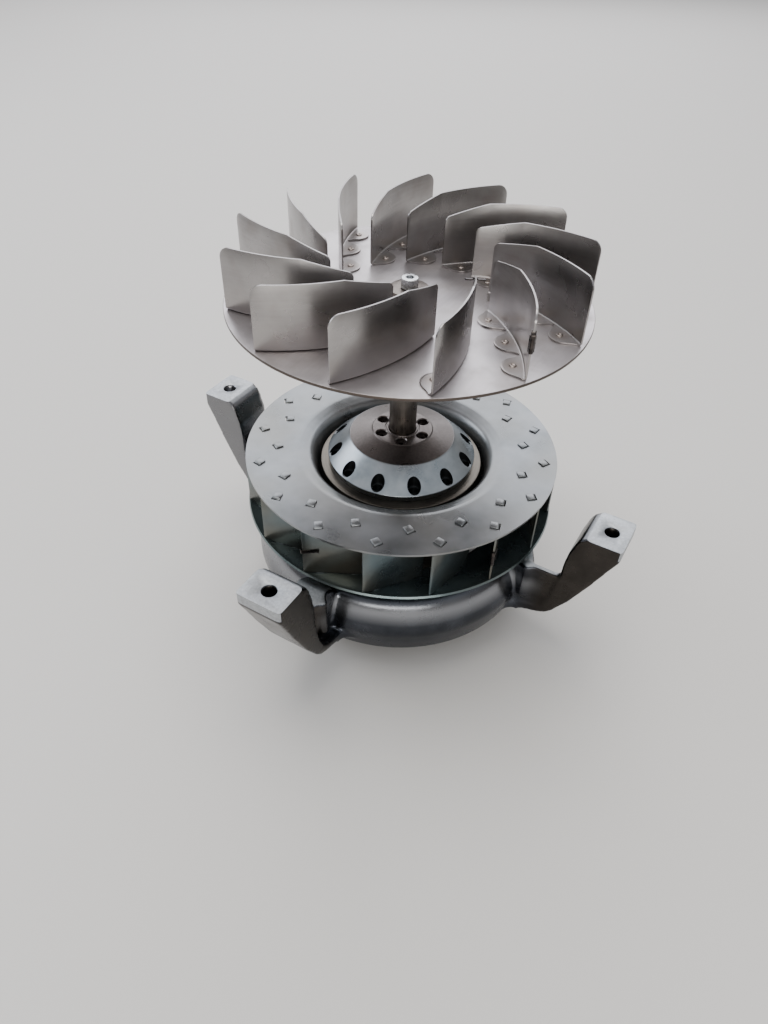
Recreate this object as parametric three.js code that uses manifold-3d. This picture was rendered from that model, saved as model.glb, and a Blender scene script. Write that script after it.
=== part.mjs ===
// Two-wheel hot-gas fan unit: a cast four-arm bracket carries an external-rotor motor. A galvanised
// cooling impeller is pressed onto the rotor, and a stainless wheel stands above it on the long shaft.
// Millimetres, +Z up. The origin is on the shaft axis at the underside of the motor foot. One arm lies
// on each of +X, +Y, -X and -Y.
import * as THREE from 'three';
import { mergeVertices } from 'three/addons/utils/BufferGeometryUtils.js';
import Module from 'manifold-3d';

const wasm = await Module();
wasm.setup();

// driving dimensions
const GAP = 0.3;                 // between pieces that touch
const SEG_BIG = 48;              // facets round the wheels and the bracket ring
const SEG_SMALL = 24;            // facets round the shaft and small rings

const HOT_R = 90;                // stainless wheel
const HOT_TOP_Z = 190.7;
const HOT_SHEET = 1.5;
const VANE_COUNT = 13;
const VANE_SHEET = 1.2;
const VANE_H = 31;
const VANE_INNER_H = 25.5;
const VANE_PHASE = 0.3;          // degrees, outer end of the first vane
const VANE_ARC_X = 23.1;         // centre of a vane's arc, its outer end lying on the local +X axis
const VANE_ARC_Y = -72.7;
const VANE_ARC_R = 97.8;
const VANE_OUTER_DEG = 48.2;     // ends of that arc, seen from its centre
const VANE_KINK_DEG = 71.5;
const VANE_INNER_DEG = 85;
const VANE_CORNER = 6;           // cut corner at the outer top
const FOOT_DEGS = [54.5, 66.9, 79.9];
const FOOT_R = 7.8;
const FOOT_REACH = 2.7;          // from the vane to the centre of the foot's round end

const COOL_R = 88;               // galvanised impeller, back plate
const COOL_TOP_Z = 99.4;
const COOL_SHEET = 1.2;
const DISH_R = 55.1;             // where the back plate starts to roll down to the rotor
const INLET_R = 88.6;            // lower ring of the impeller, a shallow dish
const INLET_TOP_Z = 69.5;
const INLET_EYE_R = 61;
const INLET_EYE_Z = 61;
const BLADE_COUNT = 16;
const BLADE_SHEET = 1;
const BLADE_PHASE = 17;
const BLADE_LENGTH = 37;
const BLADE_SWEEP = 46.5;        // degrees between a blade and the radius at its outer end

const CAN_R = 46;                // external rotor of the motor
const CAN_INNER_R = 40.5;
const CAN_BOTTOM_Z = 31;
const CAN_TOP_Z = 92;
const CAN_ROOF = 6;
const CAP_R = 41.8;
const CAP_RIM_Z = 96.7;
const CAP_SHOULDER_R = 29.5;
const CAP_SHOULDER_Z = 108.6;
const CAP_FACE_R = 16.6;
const CAP_FACE_Z = 112.4;
const CAP_BORES = 12;            // upright bores that break out through the cone
const CAP_BORE_PHASE = 9.8;
const CAP_BORE_R = 3.75;
const CAP_BORE_CIRCLE_R = 37.7;
const CAP_BORE_FLOOR_Z = 95.2;
const CAP_HOLES = 6;
const CAP_HOLE_PHASE = -4;
const CAP_HOLE_CIRCLE_R = 12.9;
const CAP_HOLE_R = 3.2;
const CAP_HOLE_DEPTH = 7;

const SHAFT_R = 7.5;
const JOURNAL_R = 4;             // lower end, in the motor's bearing tube
const SHAFT_BOTTOM_Z = 27;
const SCREW_R = 2.5;
const SCREW_HEAD_R = 4.25;
const SCREW_HEAD_H = 5;
const SCREW_LENGTH = 16;
const SCREW_SOCKET_R = 2.1;
const SCREW_SOCKET_DEPTH = 3;
const WASHER_R = 10;
const WASHER_H = 4.5;

const RING_LIP_Z = 16.5;         // bracket ring, an upside-down channel round the air inlet
const RING_LIP_R = 80;
const RING_R = 84.6;
const RING_BULGE_Z = 37;
const RING_TOP_Z = 57;
const RING_TOP_R = 69;
const RING_THROAT_R = 56;
const RING_THROAT_Z = 26;        // lower edge of the channel's inner wall
const RING_WALL = 3.6;

const PAD_TOP_Z = 94.3;          // four arms with their bolt pads
const PAD_OUTER = 134.8;
const PAD_CIRCLE_R = 125.3;
const PAD_HOLE_R = 3.5;           // blind tapped hole, which ends above the leg's sloped outer face
const PAD_HOLE_FLOOR_Z = 79;
const ARM_HALF_W = 13;
const LEG_INNER = 107.3;
const ARM_FLOOR_Z = 24.5;
const ARM_FLOOR_T = 6.5;
const WEB_TOP_Z = 61.5;
const WEB_SIDE = 12;             // web's outer face, a little behind the arm's side face
const WEB_T = 3.2;
const BLOCK_SIDE = 6.5;          // broad block in place of the web on two of the arms
const BOSS_R = 3.8;
const FLOOR_FILLET = 8;          // in plan, where an arm's floor runs into the ring
const FLOOR_RING_R = 83;

const RIB_W = 9;                 // motor spider inside the ring
const RIB_BOTTOM_Z = 14;
const RIB_H = 11.7;
const HUB_R = 38;
const HUB_TOP_Z = 24;
const FOOT_PLATE_R = 34;
const STATOR_R = 35;
const STATOR_BOTTOM_Z = 36;
const STATOR_TOP_Z = 79;
const BEARING_TUBE_R = 12;
const GLAND_R = 5;
const GLAND_Z = 7;
const GLAND_REACH = 50;

const rad = THREE.MathUtils.degToRad;
const object = new THREE.Group();

const finishes = {
  stainless: new THREE.MeshStandardMaterial({ color: 0xb9b4b2, roughness: 0.32, metalness: 1 }),
  galvanised: new THREE.MeshStandardMaterial({ color: 0xa3adb0, roughness: 0.42, metalness: 1 }),
  casting: new THREE.MeshStandardMaterial({ color: 0x8d8e90, roughness: 0.55, metalness: 1 }),
  rotor: new THREE.MeshStandardMaterial({ color: 0x8b9296, roughness: 0.45, metalness: 1 }),
  steel: new THREE.MeshStandardMaterial({ color: 0x6f6b69, roughness: 0.35, metalness: 1 }),
  core: new THREE.MeshStandardMaterial({ color: 0x3a3634, roughness: 0.7, metalness: 0.4 }),
  plastic: new THREE.MeshStandardMaterial({ color: 0x202122, roughness: 0.6, metalness: 0 }),
};

// A closed geometry with its shared corners merged, as manifold input.
function toSolid(geometry) {
  const bare = geometry.clone();
  bare.deleteAttribute('normal');
  bare.deleteAttribute('uv');
  const merged = mergeVertices(bare, 1e-4);
  const triangles = [];
  for (let i = 0; i < merged.index.count; i += 3) {
    const [a, b, c] = [0, 1, 2].map((k) => merged.index.getX(i + k));
    if (a !== b && b !== c && c !== a) triangles.push(a, b, c);
  }
  return new wasm.Manifold(new wasm.Mesh({
    numProp: 3,
    vertProperties: new Float32Array(merged.attributes.position.array),
    triVerts: new Uint32Array(triangles),
  }));
}

function toGeometry(solid) {
  const mesh = solid.getMesh();
  const corners = new Float32Array(mesh.numVert * 3);
  for (let i = 0; i < mesh.numVert; i += 1) {
    for (let k = 0; k < 3; k += 1) corners[3 * i + k] = mesh.vertProperties[i * mesh.numProp + k];
  }
  const geometry = new THREE.BufferGeometry();
  geometry.setAttribute('position', new THREE.BufferAttribute(corners, 3));
  geometry.setIndex(new THREE.BufferAttribute(new Uint32Array(mesh.triVerts), 1));
  geometry.computeVertexNormals();
  return geometry;
}

function add(name, geometry, finish) {
  const mesh = new THREE.Mesh(geometry, finishes[finish]);
  mesh.name = name;
  object.add(mesh);
  return mesh;
}

// A ring or disc turned about Z from a closed outline of [radius, height] points, listed
// anticlockwise with the radius to the right. An outline that touches the axis is left open there.
function turned(points, segments) {
  const outline = points.map(([r, z]) => new THREE.Vector2(r, z));
  if (points[0][0] > 0) outline.push(outline[0].clone());
  const geometry = new THREE.LatheGeometry(outline, segments);
  geometry.rotateX(Math.PI / 2);
  return geometry;
}

// A flat outline in the XY plane raised from z0 to z1.
function raised(shape, z0, z1, curveSegments = 6) {
  const geometry = new THREE.ExtrudeGeometry(shape, { depth: z1 - z0, bevelEnabled: false, curveSegments });
  geometry.translate(0, 0, z0);
  return geometry;
}

function post(x, y, radius, z0, z1, segments = 16) {
  const geometry = new THREE.CylinderGeometry(radius, radius, z1 - z0, segments);
  geometry.rotateX(Math.PI / 2);
  geometry.translate(x, y, (z0 + z1) / 2);
  return geometry;
}

function block(x0, x1, y0, y1, z0, z1) {
  const geometry = new THREE.BoxGeometry(x1 - x0, y1 - y0, z1 - z0);
  geometry.translate((x0 + x1) / 2, (y0 + y1) / 2, (z0 + z1) / 2);
  return geometry;
}

// An outline given in the XZ plane, extruded along Y from y0 to y1.
function sideways(points, y0, y1) {
  const shape = new THREE.Shape(points.map(([x, z]) => new THREE.Vector2(x, z)));
  const geometry = new THREE.ExtrudeGeometry(shape, { depth: y1 - y0, bevelEnabled: false });
  geometry.rotateX(Math.PI / 2);
  geometry.translate(0, y1, 0);
  return geometry;
}

// Points of a smooth curve through the given [radius, height] points.
function smooth(points, count) {
  const curve = new THREE.SplineCurve(points.map(([r, z]) => new THREE.Vector2(r, z)));
  return curve.getPoints(count).map((p) => [p.x, p.y]);
}

// A thin wall along a vane's arc in plan, between two angles seen from the arc's centre.
function arcStrip(fromDeg, toDeg, sheet, steps) {
  const shape = new THREE.Shape();
  const at = (radius, deg) => [
    VANE_ARC_X + radius * Math.cos(rad(deg)),
    VANE_ARC_Y + radius * Math.sin(rad(deg)),
  ];
  shape.moveTo(...at(VANE_ARC_R + sheet / 2, fromDeg));
  for (let i = 1; i <= steps; i += 1) {
    shape.lineTo(...at(VANE_ARC_R + sheet / 2, fromDeg + (toDeg - fromDeg) * i / steps));
  }
  for (let i = steps; i >= 0; i -= 1) {
    shape.lineTo(...at(VANE_ARC_R - sheet / 2, fromDeg + (toDeg - fromDeg) * i / steps));
  }
  return shape;
}

// Bracket ring: a bulged wall that carries the arms and turns inwards at its top.
const ringOutside = smooth([
  [RING_LIP_R, RING_LIP_Z], [RING_R - 1.2, RING_BULGE_Z - 9], [RING_R, RING_BULGE_Z],
  [RING_R - 4.1, RING_BULGE_Z + 14], [RING_TOP_R + 5.5, RING_TOP_Z - 1.2], [RING_TOP_R, RING_TOP_Z],
], 9);
const ringInside = smooth([
  [RING_TOP_R, RING_TOP_Z - RING_WALL], [RING_TOP_R + 4.5, RING_TOP_Z - 1.2 - RING_WALL],
  [RING_R - 4.1 - RING_WALL, RING_BULGE_Z + 12], [RING_R - RING_WALL, RING_BULGE_Z],
  [RING_LIP_R - RING_WALL, RING_LIP_Z],
], 7);
add('bracket_ring', turned([...ringOutside, ...ringInside], SEG_BIG), 'casting');

// Inlet nozzle: the inner wall of the same casting, from the crest down to the throat round the motor.
add('inlet_nozzle', turned([
  ...smooth([
    [RING_TOP_R - GAP, RING_TOP_Z], [RING_TOP_R - 5.5, RING_TOP_Z - 1.4],
    [RING_THROAT_R + 3, RING_TOP_Z - 7], [RING_THROAT_R, RING_THROAT_Z],
  ], 6),
  ...smooth([
    [RING_THROAT_R + RING_WALL, RING_THROAT_Z], [RING_THROAT_R + 3 + RING_WALL, RING_TOP_Z - 9],
    [RING_TOP_R - GAP, RING_TOP_Z - RING_WALL],
  ], 5),
], SEG_BIG), 'casting');

// The arms are cut back from the ring by a slightly fatter copy of its outside.
const ringClearance = toSolid(turned([
  [0, RING_LIP_Z - 10], [RING_LIP_R + GAP, RING_LIP_Z - 10],
  ...ringOutside.filter(([r]) => r > RING_TOP_R).map(([r, z]) => [r + GAP, z + GAP * (z > RING_BULGE_Z)]),
  [RING_TOP_R, RING_TOP_Z + GAP], [0, RING_TOP_Z + GAP],
], SEG_BIG));

// Plan of an arm's floor: as wide as the arm, with a hollow fillet into the ring on both sides.
function floorShape() {
  const centreY = ARM_HALF_W + FLOOR_FILLET;
  const centreX = Math.sqrt((FLOOR_RING_R + FLOOR_FILLET) ** 2 - centreY ** 2);
  const turn = Math.atan2(centreY, centreX);
  const shape = new THREE.Shape();
  shape.moveTo(RING_THROAT_R, 0);
  shape.lineTo(FLOOR_RING_R * Math.cos(turn), -FLOOR_RING_R * Math.sin(turn));
  shape.absarc(centreX, -centreY, FLOOR_FILLET, Math.PI - turn, Math.PI / 2, true);
  shape.absarc(centreX, centreY, FLOOR_FILLET, -Math.PI / 2, turn - Math.PI, true);
  return shape;
}

// One arm along +X: a floor out from the ring, a leaning leg, the bolt pad on top, and between
// leg and ring a thin web or a broad block with a round boss at its edge.
function armSolid({ low, high, bossX, bossY }) {
  const leg = [
    [LEG_INNER - 0.3, 58], [104.5, 45], [101, 36.5], [96.5, ARM_FLOOR_Z + ARM_FLOOR_T + 1.5],
    [RING_LIP_R, ARM_FLOOR_Z + ARM_FLOOR_T - 1.5], [RING_LIP_R, ARM_FLOOR_Z - 2],
    [88, ARM_FLOOR_Z + 0.8], [99, 28.6], [103.5, 30.2], [108, 35], [114.5, 45], [125, 66],
    [129.5, 76], [PAD_OUTER, 87], [PAD_OUTER, PAD_TOP_Z], [116.5, PAD_TOP_Z],
    [113.3, 93.2], [111.2, 90], [108.6, 80], [LEG_INNER, 70],
  ];
  const web = [
    [RING_LIP_R, ARM_FLOOR_Z - 1], [88, ARM_FLOOR_Z + 1.5], [100, ARM_FLOOR_Z + 6],
    [LEG_INNER + 3, 45], [LEG_INNER + 3, WEB_TOP_Z], [RING_R + 2.4, WEB_TOP_Z],
    [RING_LIP_R, RING_TOP_Z], [RING_R - 6, RING_BULGE_Z + 13],
  ];
  let solid = toSolid(sideways(leg, -ARM_HALF_W, ARM_HALF_W));
  solid = solid.add(toSolid(raised(floorShape(), ARM_FLOOR_Z - 1, ARM_FLOOR_Z + 4, 8)));
  solid = solid.add(toSolid(sideways(web, low, high)));
  solid = solid.add(toSolid(post(bossX, bossY, BOSS_R, RING_BULGE_Z, WEB_TOP_Z - 0.8)));
  solid = solid.subtract(ringClearance);
  return solid.subtract(toSolid(post(PAD_CIRCLE_R, 0, PAD_HOLE_R, PAD_HOLE_FLOOR_Z, PAD_TOP_Z + 5)));
}
const webbed = armSolid({ low: -WEB_SIDE, high: WEB_T - WEB_SIDE, bossX: 88.8, bossY: -10.6 });
const blocked = armSolid({ low: -WEB_SIDE, high: BLOCK_SIDE, bossX: 94, bossY: 6.4 });
const arms = [
  { name: 'bracket_arm_east', turn: 0, solid: webbed },
  { name: 'bracket_arm_north', turn: 90, solid: blocked },
  { name: 'bracket_arm_west', turn: 180, solid: webbed },
  { name: 'bracket_arm_south', turn: 270, solid: blocked },
];
for (const arm of arms) {
  add(arm.name, toGeometry(arm.solid), 'casting').rotation.z = rad(arm.turn);
}

// Motor spider: hub and four ribs between the arms, carrying the motor inside the ring.
let spider = toSolid(post(0, 0, HUB_R, RIB_BOTTOM_Z, HUB_TOP_Z, SEG_BIG));
for (let i = 0; i < 4; i += 1) {
  const rib = block(HUB_R - 8, RING_LIP_R - RING_WALL - GAP - 0.6, -RIB_W / 2, RIB_W / 2,
    RIB_BOTTOM_Z, RIB_BOTTOM_Z + RIB_H);
  rib.rotateZ(rad(45 + 90 * i));
  spider = spider.add(toSolid(rib));
}
add('motor_spider', toGeometry(spider), 'casting');
add('motor_foot', turned([[0, 0], [FOOT_PLATE_R - 1, 0], [FOOT_PLATE_R, 1],
  [FOOT_PLATE_R, RIB_BOTTOM_Z - GAP], [0, RIB_BOTTOM_Z - GAP]], SEG_BIG), 'casting');
const gland = turned([[0, 0], [GLAND_R, 0], [GLAND_R, 6], [GLAND_R - 1, 7],
  [GLAND_R - 1, GLAND_REACH - FOOT_PLATE_R], [0, GLAND_REACH - FOOT_PLATE_R]], SEG_SMALL);
gland.rotateY(Math.PI / 2);
const glandMesh = add('cable_gland', gland, 'plastic');
glandMesh.position.set((FOOT_PLATE_R + GAP) * Math.cos(rad(135)), (FOOT_PLATE_R + GAP) * Math.sin(rad(135)),
  GLAND_Z);
glandMesh.rotation.z = rad(135);

// Stator: flange on the spider, bearing tube and winding stack inside the rotor.
add('motor_stator', turned([
  [JOURNAL_R + GAP, HUB_TOP_Z + GAP], [30, HUB_TOP_Z + GAP], [30, 29], [BEARING_TUBE_R, 29],
  [BEARING_TUBE_R, STATOR_BOTTOM_Z], [STATOR_R, STATOR_BOTTOM_Z], [STATOR_R, STATOR_TOP_Z],
  [BEARING_TUBE_R, STATOR_TOP_Z], [BEARING_TUBE_R, 81], [JOURNAL_R + GAP, 81],
], SEG_SMALL), 'core');

// Rotor can, open below, and the shaft that runs up from it to the stainless wheel.
add('rotor_can', turned([
  [SHAFT_R + GAP, CAN_TOP_Z - CAN_ROOF], [CAN_INNER_R, CAN_TOP_Z - CAN_ROOF],
  [CAN_INNER_R, CAN_BOTTOM_Z], [CAN_R, CAN_BOTTOM_Z], [CAN_R, CAN_TOP_Z - 0.8],
  [CAN_R - 0.8, CAN_TOP_Z], [SHAFT_R + GAP, CAN_TOP_Z],
], SEG_BIG), 'rotor');
const shaftTop = HOT_TOP_Z - HOT_SHEET - GAP;
const screwTop = HOT_TOP_Z + GAP + WASHER_H + GAP;
add('shaft', turned([
  [0, SHAFT_BOTTOM_Z], [JOURNAL_R, SHAFT_BOTTOM_Z], [JOURNAL_R, CAN_TOP_Z - CAN_ROOF],
  [SHAFT_R, CAN_TOP_Z - CAN_ROOF], [SHAFT_R, shaftTop], [SCREW_R + GAP, shaftTop],
  [SCREW_R + GAP, screwTop - SCREW_LENGTH - 1], [0, screwTop - SCREW_LENGTH - 1],
], SEG_SMALL), 'steel');

// Rotor cap: a blunt cone with upright bores round its foot and six screw holes in its face.
let cap = toSolid(turned([
  [SHAFT_R + GAP, CAN_TOP_Z + GAP], [CAP_R - 0.8, CAN_TOP_Z + GAP], [CAP_R, CAP_RIM_Z],
  [CAP_SHOULDER_R, CAP_SHOULDER_Z], [CAP_FACE_R, CAP_FACE_Z], [SHAFT_R + GAP, CAP_FACE_Z],
], SEG_BIG));
function drill(count, phase, circle, radius, floorZ) {
  for (let i = 0; i < count; i += 1) {
    const angle = rad(phase + 360 * i / count);
    cap = cap.subtract(toSolid(post(circle * Math.cos(angle), circle * Math.sin(angle), radius,
      floorZ, CAP_FACE_Z + 1, 12)));
  }
}
drill(CAP_BORES, CAP_BORE_PHASE, CAP_BORE_CIRCLE_R, CAP_BORE_R, CAP_BORE_FLOOR_Z);
drill(CAP_HOLES, CAP_HOLE_PHASE, CAP_HOLE_CIRCLE_R, CAP_HOLE_R, CAP_FACE_Z - CAP_HOLE_DEPTH);
add('rotor_cap', toGeometry(cap), 'rotor');

// Back plate of the impeller: flat outside, rolled down in the middle to grip the rotor can.
const dishTop = smooth([
  [DISH_R, COOL_TOP_Z], [50.6, COOL_TOP_Z - 3], [48.4, COOL_TOP_Z - 8], [CAN_R + GAP + COOL_SHEET, 82],
], 5);
const dishUnder = smooth([
  [CAN_R + GAP + COOL_SHEET + 0.01, 77], [CAN_R + GAP + 2 * COOL_SHEET, 82], [49.8, COOL_TOP_Z - 8.8],
  [52, COOL_TOP_Z - 4.2], [DISH_R + 0.6, COOL_TOP_Z - COOL_SHEET],
], 5);
add('impeller_back_plate', turned([
  [COOL_R, COOL_TOP_Z - COOL_SHEET], [COOL_R, COOL_TOP_Z], ...dishTop, [CAN_R + GAP, 81],
  [CAN_R + GAP, 77], ...dishUnder,
], SEG_BIG), 'galvanised');

// Lower ring of the impeller: it dips inwards as a shallow dish and is rolled down at the air inlet.
const dishProfile = smooth([
  [INLET_R, INLET_TOP_Z], [85.5, INLET_TOP_Z - 1.5], [80, INLET_TOP_Z - 2.6], [76, INLET_TOP_Z - 3.8],
  [72, INLET_TOP_Z - 5.3], [67, INLET_TOP_Z - 6.3], [63, INLET_EYE_Z + 1.7], [INLET_EYE_R, INLET_EYE_Z],
], 8);
const dishBelow = dishProfile.slice(0, -1).map(([r, z]) => [r, z - COOL_SHEET]).reverse();
add('impeller_inlet_ring', turned([
  ...dishProfile, [INLET_EYE_R + COOL_SHEET, INLET_EYE_Z], ...dishBelow,
], SEG_BIG), 'galvanised');

// Impeller blades: flat, swept back, and cut below to the dish of the lower ring.
const dishClearance = toSolid(turned([
  [0, INLET_EYE_Z - 5], [INLET_R + 2, INLET_EYE_Z - 5], [INLET_R + 2, INLET_TOP_Z + 1],
  ...dishProfile.map(([r, z]) => [r, z + GAP]), [0, INLET_EYE_Z + GAP],
], SEG_BIG));
const bladePlate = block(0, BLADE_LENGTH, -BLADE_SHEET / 2, BLADE_SHEET / 2,
  INLET_EYE_Z, COOL_TOP_Z - COOL_SHEET - GAP);
bladePlate.rotateZ(rad(180 - BLADE_SWEEP));
bladePlate.translate(COOL_R, 0, 0);
for (let i = 0; i < BLADE_COUNT; i += 1) {
  const degrees = BLADE_PHASE + 360 * i / BLADE_COUNT;
  const blade = toSolid(bladePlate).rotate(0, 0, degrees).subtract(dishClearance);
  add(`impeller_blade_${String(i + 1).padStart(2, '0')}`, toGeometry(blade), 'galvanised');
}

// Stainless wheel: a flat disc, and vanes that stand on bent feet.
add('hot_wheel_disc', turned([
  [SCREW_R + GAP, HOT_TOP_Z - HOT_SHEET], [HOT_R, HOT_TOP_Z - HOT_SHEET], [HOT_R, HOT_TOP_Z],
  [SCREW_R + GAP, HOT_TOP_Z],
], SEG_BIG), 'stainless');
add('hub_washer', turned([
  [SCREW_R + GAP, HOT_TOP_Z + GAP], [WASHER_R, HOT_TOP_Z + GAP],
  [WASHER_R, HOT_TOP_Z + GAP + WASHER_H], [SCREW_R + GAP, HOT_TOP_Z + GAP + WASHER_H],
], SEG_SMALL), 'steel');
add('hub_screw', turned([
  [0, screwTop - SCREW_LENGTH], [SCREW_R, screwTop - SCREW_LENGTH], [SCREW_R, screwTop],
  [SCREW_HEAD_R, screwTop], [SCREW_HEAD_R, screwTop + SCREW_HEAD_H],
  [SCREW_SOCKET_R, screwTop + SCREW_HEAD_H],
  [SCREW_SOCKET_R, screwTop + SCREW_HEAD_H - SCREW_SOCKET_DEPTH],
  [0, screwTop + SCREW_HEAD_H - SCREW_SOCKET_DEPTH],
], SEG_SMALL), 'steel');

// Side outline of a vane along its chord: level on top, then falling to the inner end.
function vaneSolid() {
  const at = (deg) => new THREE.Vector2(VANE_ARC_X + VANE_ARC_R * Math.cos(rad(deg)),
    VANE_ARC_Y + VANE_ARC_R * Math.sin(rad(deg)));
  const outer = at(VANE_OUTER_DEG);
  const inner = at(VANE_INNER_DEG);
  const chord = inner.clone().sub(outer);
  const length = chord.length();
  const kink = at(VANE_KINK_DEG).sub(outer).dot(chord) / length;
  const z0 = HOT_TOP_Z + GAP;
  const outline = [
    [-2, z0], [length + 2, z0], [length + 2, HOT_TOP_Z + VANE_INNER_H - 0.8],
    [length, HOT_TOP_Z + VANE_INNER_H], [kink, HOT_TOP_Z + VANE_H], [VANE_CORNER, HOT_TOP_Z + VANE_H],
    [VANE_CORNER * 0.3, HOT_TOP_Z + VANE_H - VANE_CORNER * 0.3], [-0.2, HOT_TOP_Z + VANE_H - VANE_CORNER],
    [-2, HOT_TOP_Z + VANE_H - VANE_CORNER * 2],
  ];
  const side = sideways(outline, -20, 20);
  side.rotateZ(Math.atan2(chord.y, chord.x));
  side.translate(outer.x, outer.y, 0);
  const wall = raised(arcStrip(VANE_OUTER_DEG, VANE_INNER_DEG, VANE_SHEET, 7), z0, HOT_TOP_Z + VANE_H);
  let solid = toSolid(wall).intersect(toSolid(side));
  for (const deg of FOOT_DEGS) {
    const foot = new THREE.Shape();
    foot.moveTo(VANE_ARC_R, -FOOT_R);
    foot.lineTo(VANE_ARC_R, FOOT_R);
    foot.lineTo(VANE_ARC_R - FOOT_REACH, FOOT_R);
    foot.absarc(VANE_ARC_R - FOOT_REACH, 0, FOOT_R, Math.PI / 2, 3 * Math.PI / 2, false);
    const plate = raised(foot, z0, z0 + VANE_SHEET, 5);
    plate.rotateZ(rad(deg));
    plate.translate(VANE_ARC_X, VANE_ARC_Y, 0);
    solid = solid.add(toSolid(plate));
  }
  return solid;
}
const vaneGeometry = toGeometry(vaneSolid());
for (let i = 0; i < VANE_COUNT; i += 1) {
  const vane = add(`hot_vane_${String(i + 1).padStart(2, '0')}`, vaneGeometry.clone(), 'stainless');
  vane.rotation.z = rad(VANE_PHASE + 360 * i / VANE_COUNT);
}

export default object;
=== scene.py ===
import math

import bmesh
import bpy
from mathutils import Matrix, Vector


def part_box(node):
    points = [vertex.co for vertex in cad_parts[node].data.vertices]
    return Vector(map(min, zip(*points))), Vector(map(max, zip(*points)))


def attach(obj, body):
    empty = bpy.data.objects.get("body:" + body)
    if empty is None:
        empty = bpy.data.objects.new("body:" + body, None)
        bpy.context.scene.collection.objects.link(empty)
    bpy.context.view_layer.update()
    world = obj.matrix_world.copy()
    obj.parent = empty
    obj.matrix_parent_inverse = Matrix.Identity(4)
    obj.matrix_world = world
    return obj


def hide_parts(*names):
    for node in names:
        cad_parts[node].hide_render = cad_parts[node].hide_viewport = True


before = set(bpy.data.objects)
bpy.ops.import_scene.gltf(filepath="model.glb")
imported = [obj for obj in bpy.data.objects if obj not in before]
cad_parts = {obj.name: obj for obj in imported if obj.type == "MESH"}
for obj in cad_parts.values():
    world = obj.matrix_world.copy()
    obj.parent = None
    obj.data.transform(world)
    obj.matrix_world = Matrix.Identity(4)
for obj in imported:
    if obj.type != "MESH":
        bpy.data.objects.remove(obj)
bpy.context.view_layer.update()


# Camera: it stands where the photograph was taken from, 0.36 m over the floor,
# and looks down across the south arm. Places are in metres, angles in degrees.
CAMERA_PLACE = (0.1627, -0.3082, 0.3614)
CAMERA_PITCH = 41.97
CAMERA_HEADING = 29.26
CAMERA_ROLL = 1.94
FILM_LONG_SIDE_MM = 36.0
FOCAL_LENGTH_MM = 26.74
NEAREST_SHOWN = 0.01

camera_data = bpy.data.cameras.new("photograph_camera")
camera_data.sensor_width = FILM_LONG_SIDE_MM
camera_data.lens = FOCAL_LENGTH_MM
camera_data.clip_start = NEAREST_SHOWN
camera = bpy.data.objects.new("photograph_camera", camera_data)
bpy.context.scene.collection.objects.link(camera)
camera.matrix_world = (
    Matrix.Translation(CAMERA_PLACE)
    @ Matrix.Rotation(math.radians(CAMERA_HEADING), 4, "Z")
    @ Matrix.Rotation(math.radians(90 - CAMERA_PITCH), 4, "X")
    @ Matrix.Rotation(math.radians(CAMERA_ROLL), 4, "Z")
)
bpy.context.scene.camera = camera


# Floor and light: a plain pale floor. A broad softbox stands behind the unit, so that level faces
# shine and upright ones facing the camera stay dark. A low one in front draws the light band
# along the cast ring.
FLOOR_SIZE = 8.0
FLOOR_COLOUR = 0xD3D0CC
FLOOR_ROUGHNESS = 0.75


def linear(colour):
    """A linear RGBA colour from an sRGB hex value."""
    def channel(value):
        value /= 255
        return value / 12.92 if value <= 0.04045 else ((value + 0.055) / 1.055) ** 2.4
    return tuple(channel(colour >> shift & 255) for shift in (16, 8, 0)) + (1.0,)


def add_node(tree, kind, inputs=None, **settings):
    """One node with its settings. An input takes a value, a hex colour, a node or a node's output."""
    made = tree.nodes.new(kind)
    for name, value in settings.items():
        setattr(made, name, value)
    for name, value in (inputs or {}).items():
        socket = made.inputs[name]
        if isinstance(value, bpy.types.Node):
            value = next(output for output in value.outputs if output.enabled)
        if isinstance(value, bpy.types.NodeSocket):
            tree.links.new(value, socket)
        elif socket.type == "RGBA":
            socket.default_value = linear(value)
        else:
            socket.default_value = value
    return made


def new_material(name):
    """An empty node material and its tree."""
    material = bpy.data.materials.new(name)
    material.use_nodes = True
    material.node_tree.nodes.clear()
    return material, material.node_tree


floor_paper, floor_tree = new_material("matt_backdrop_paper")
floor_shader = add_node(floor_tree, "ShaderNodeBsdfPrincipled", {
    "Base Color": FLOOR_COLOUR, "Roughness": FLOOR_ROUGHNESS})
add_node(floor_tree, "ShaderNodeOutputMaterial", {"Surface": floor_shader})

floor_mesh = bpy.data.meshes.new("floor")
floor_build = bmesh.new()
bmesh.ops.create_grid(floor_build, x_segments=1, y_segments=1, size=FLOOR_SIZE / 2)
floor_build.to_mesh(floor_mesh)
floor_build.free()
floor_mesh.materials.append(floor_paper)
floor = bpy.data.objects.new("floor", floor_mesh)
bpy.context.scene.collection.objects.link(floor)


def softbox(name, place, aim, width, height, watts, colour):
    """A rectangular area light at one place, facing another."""
    data = bpy.data.lights.new(name, "AREA")
    data.shape = "RECTANGLE"
    data.size = width
    data.size_y = height
    data.energy = watts
    data.color = linear(colour)[:3]
    light = bpy.data.objects.new(name, data)
    bpy.context.scene.collection.objects.link(light)
    light.location = place
    light.rotation_euler = (Vector(aim) - Vector(place)).to_track_quat("-Z", "Y").to_euler()


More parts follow.
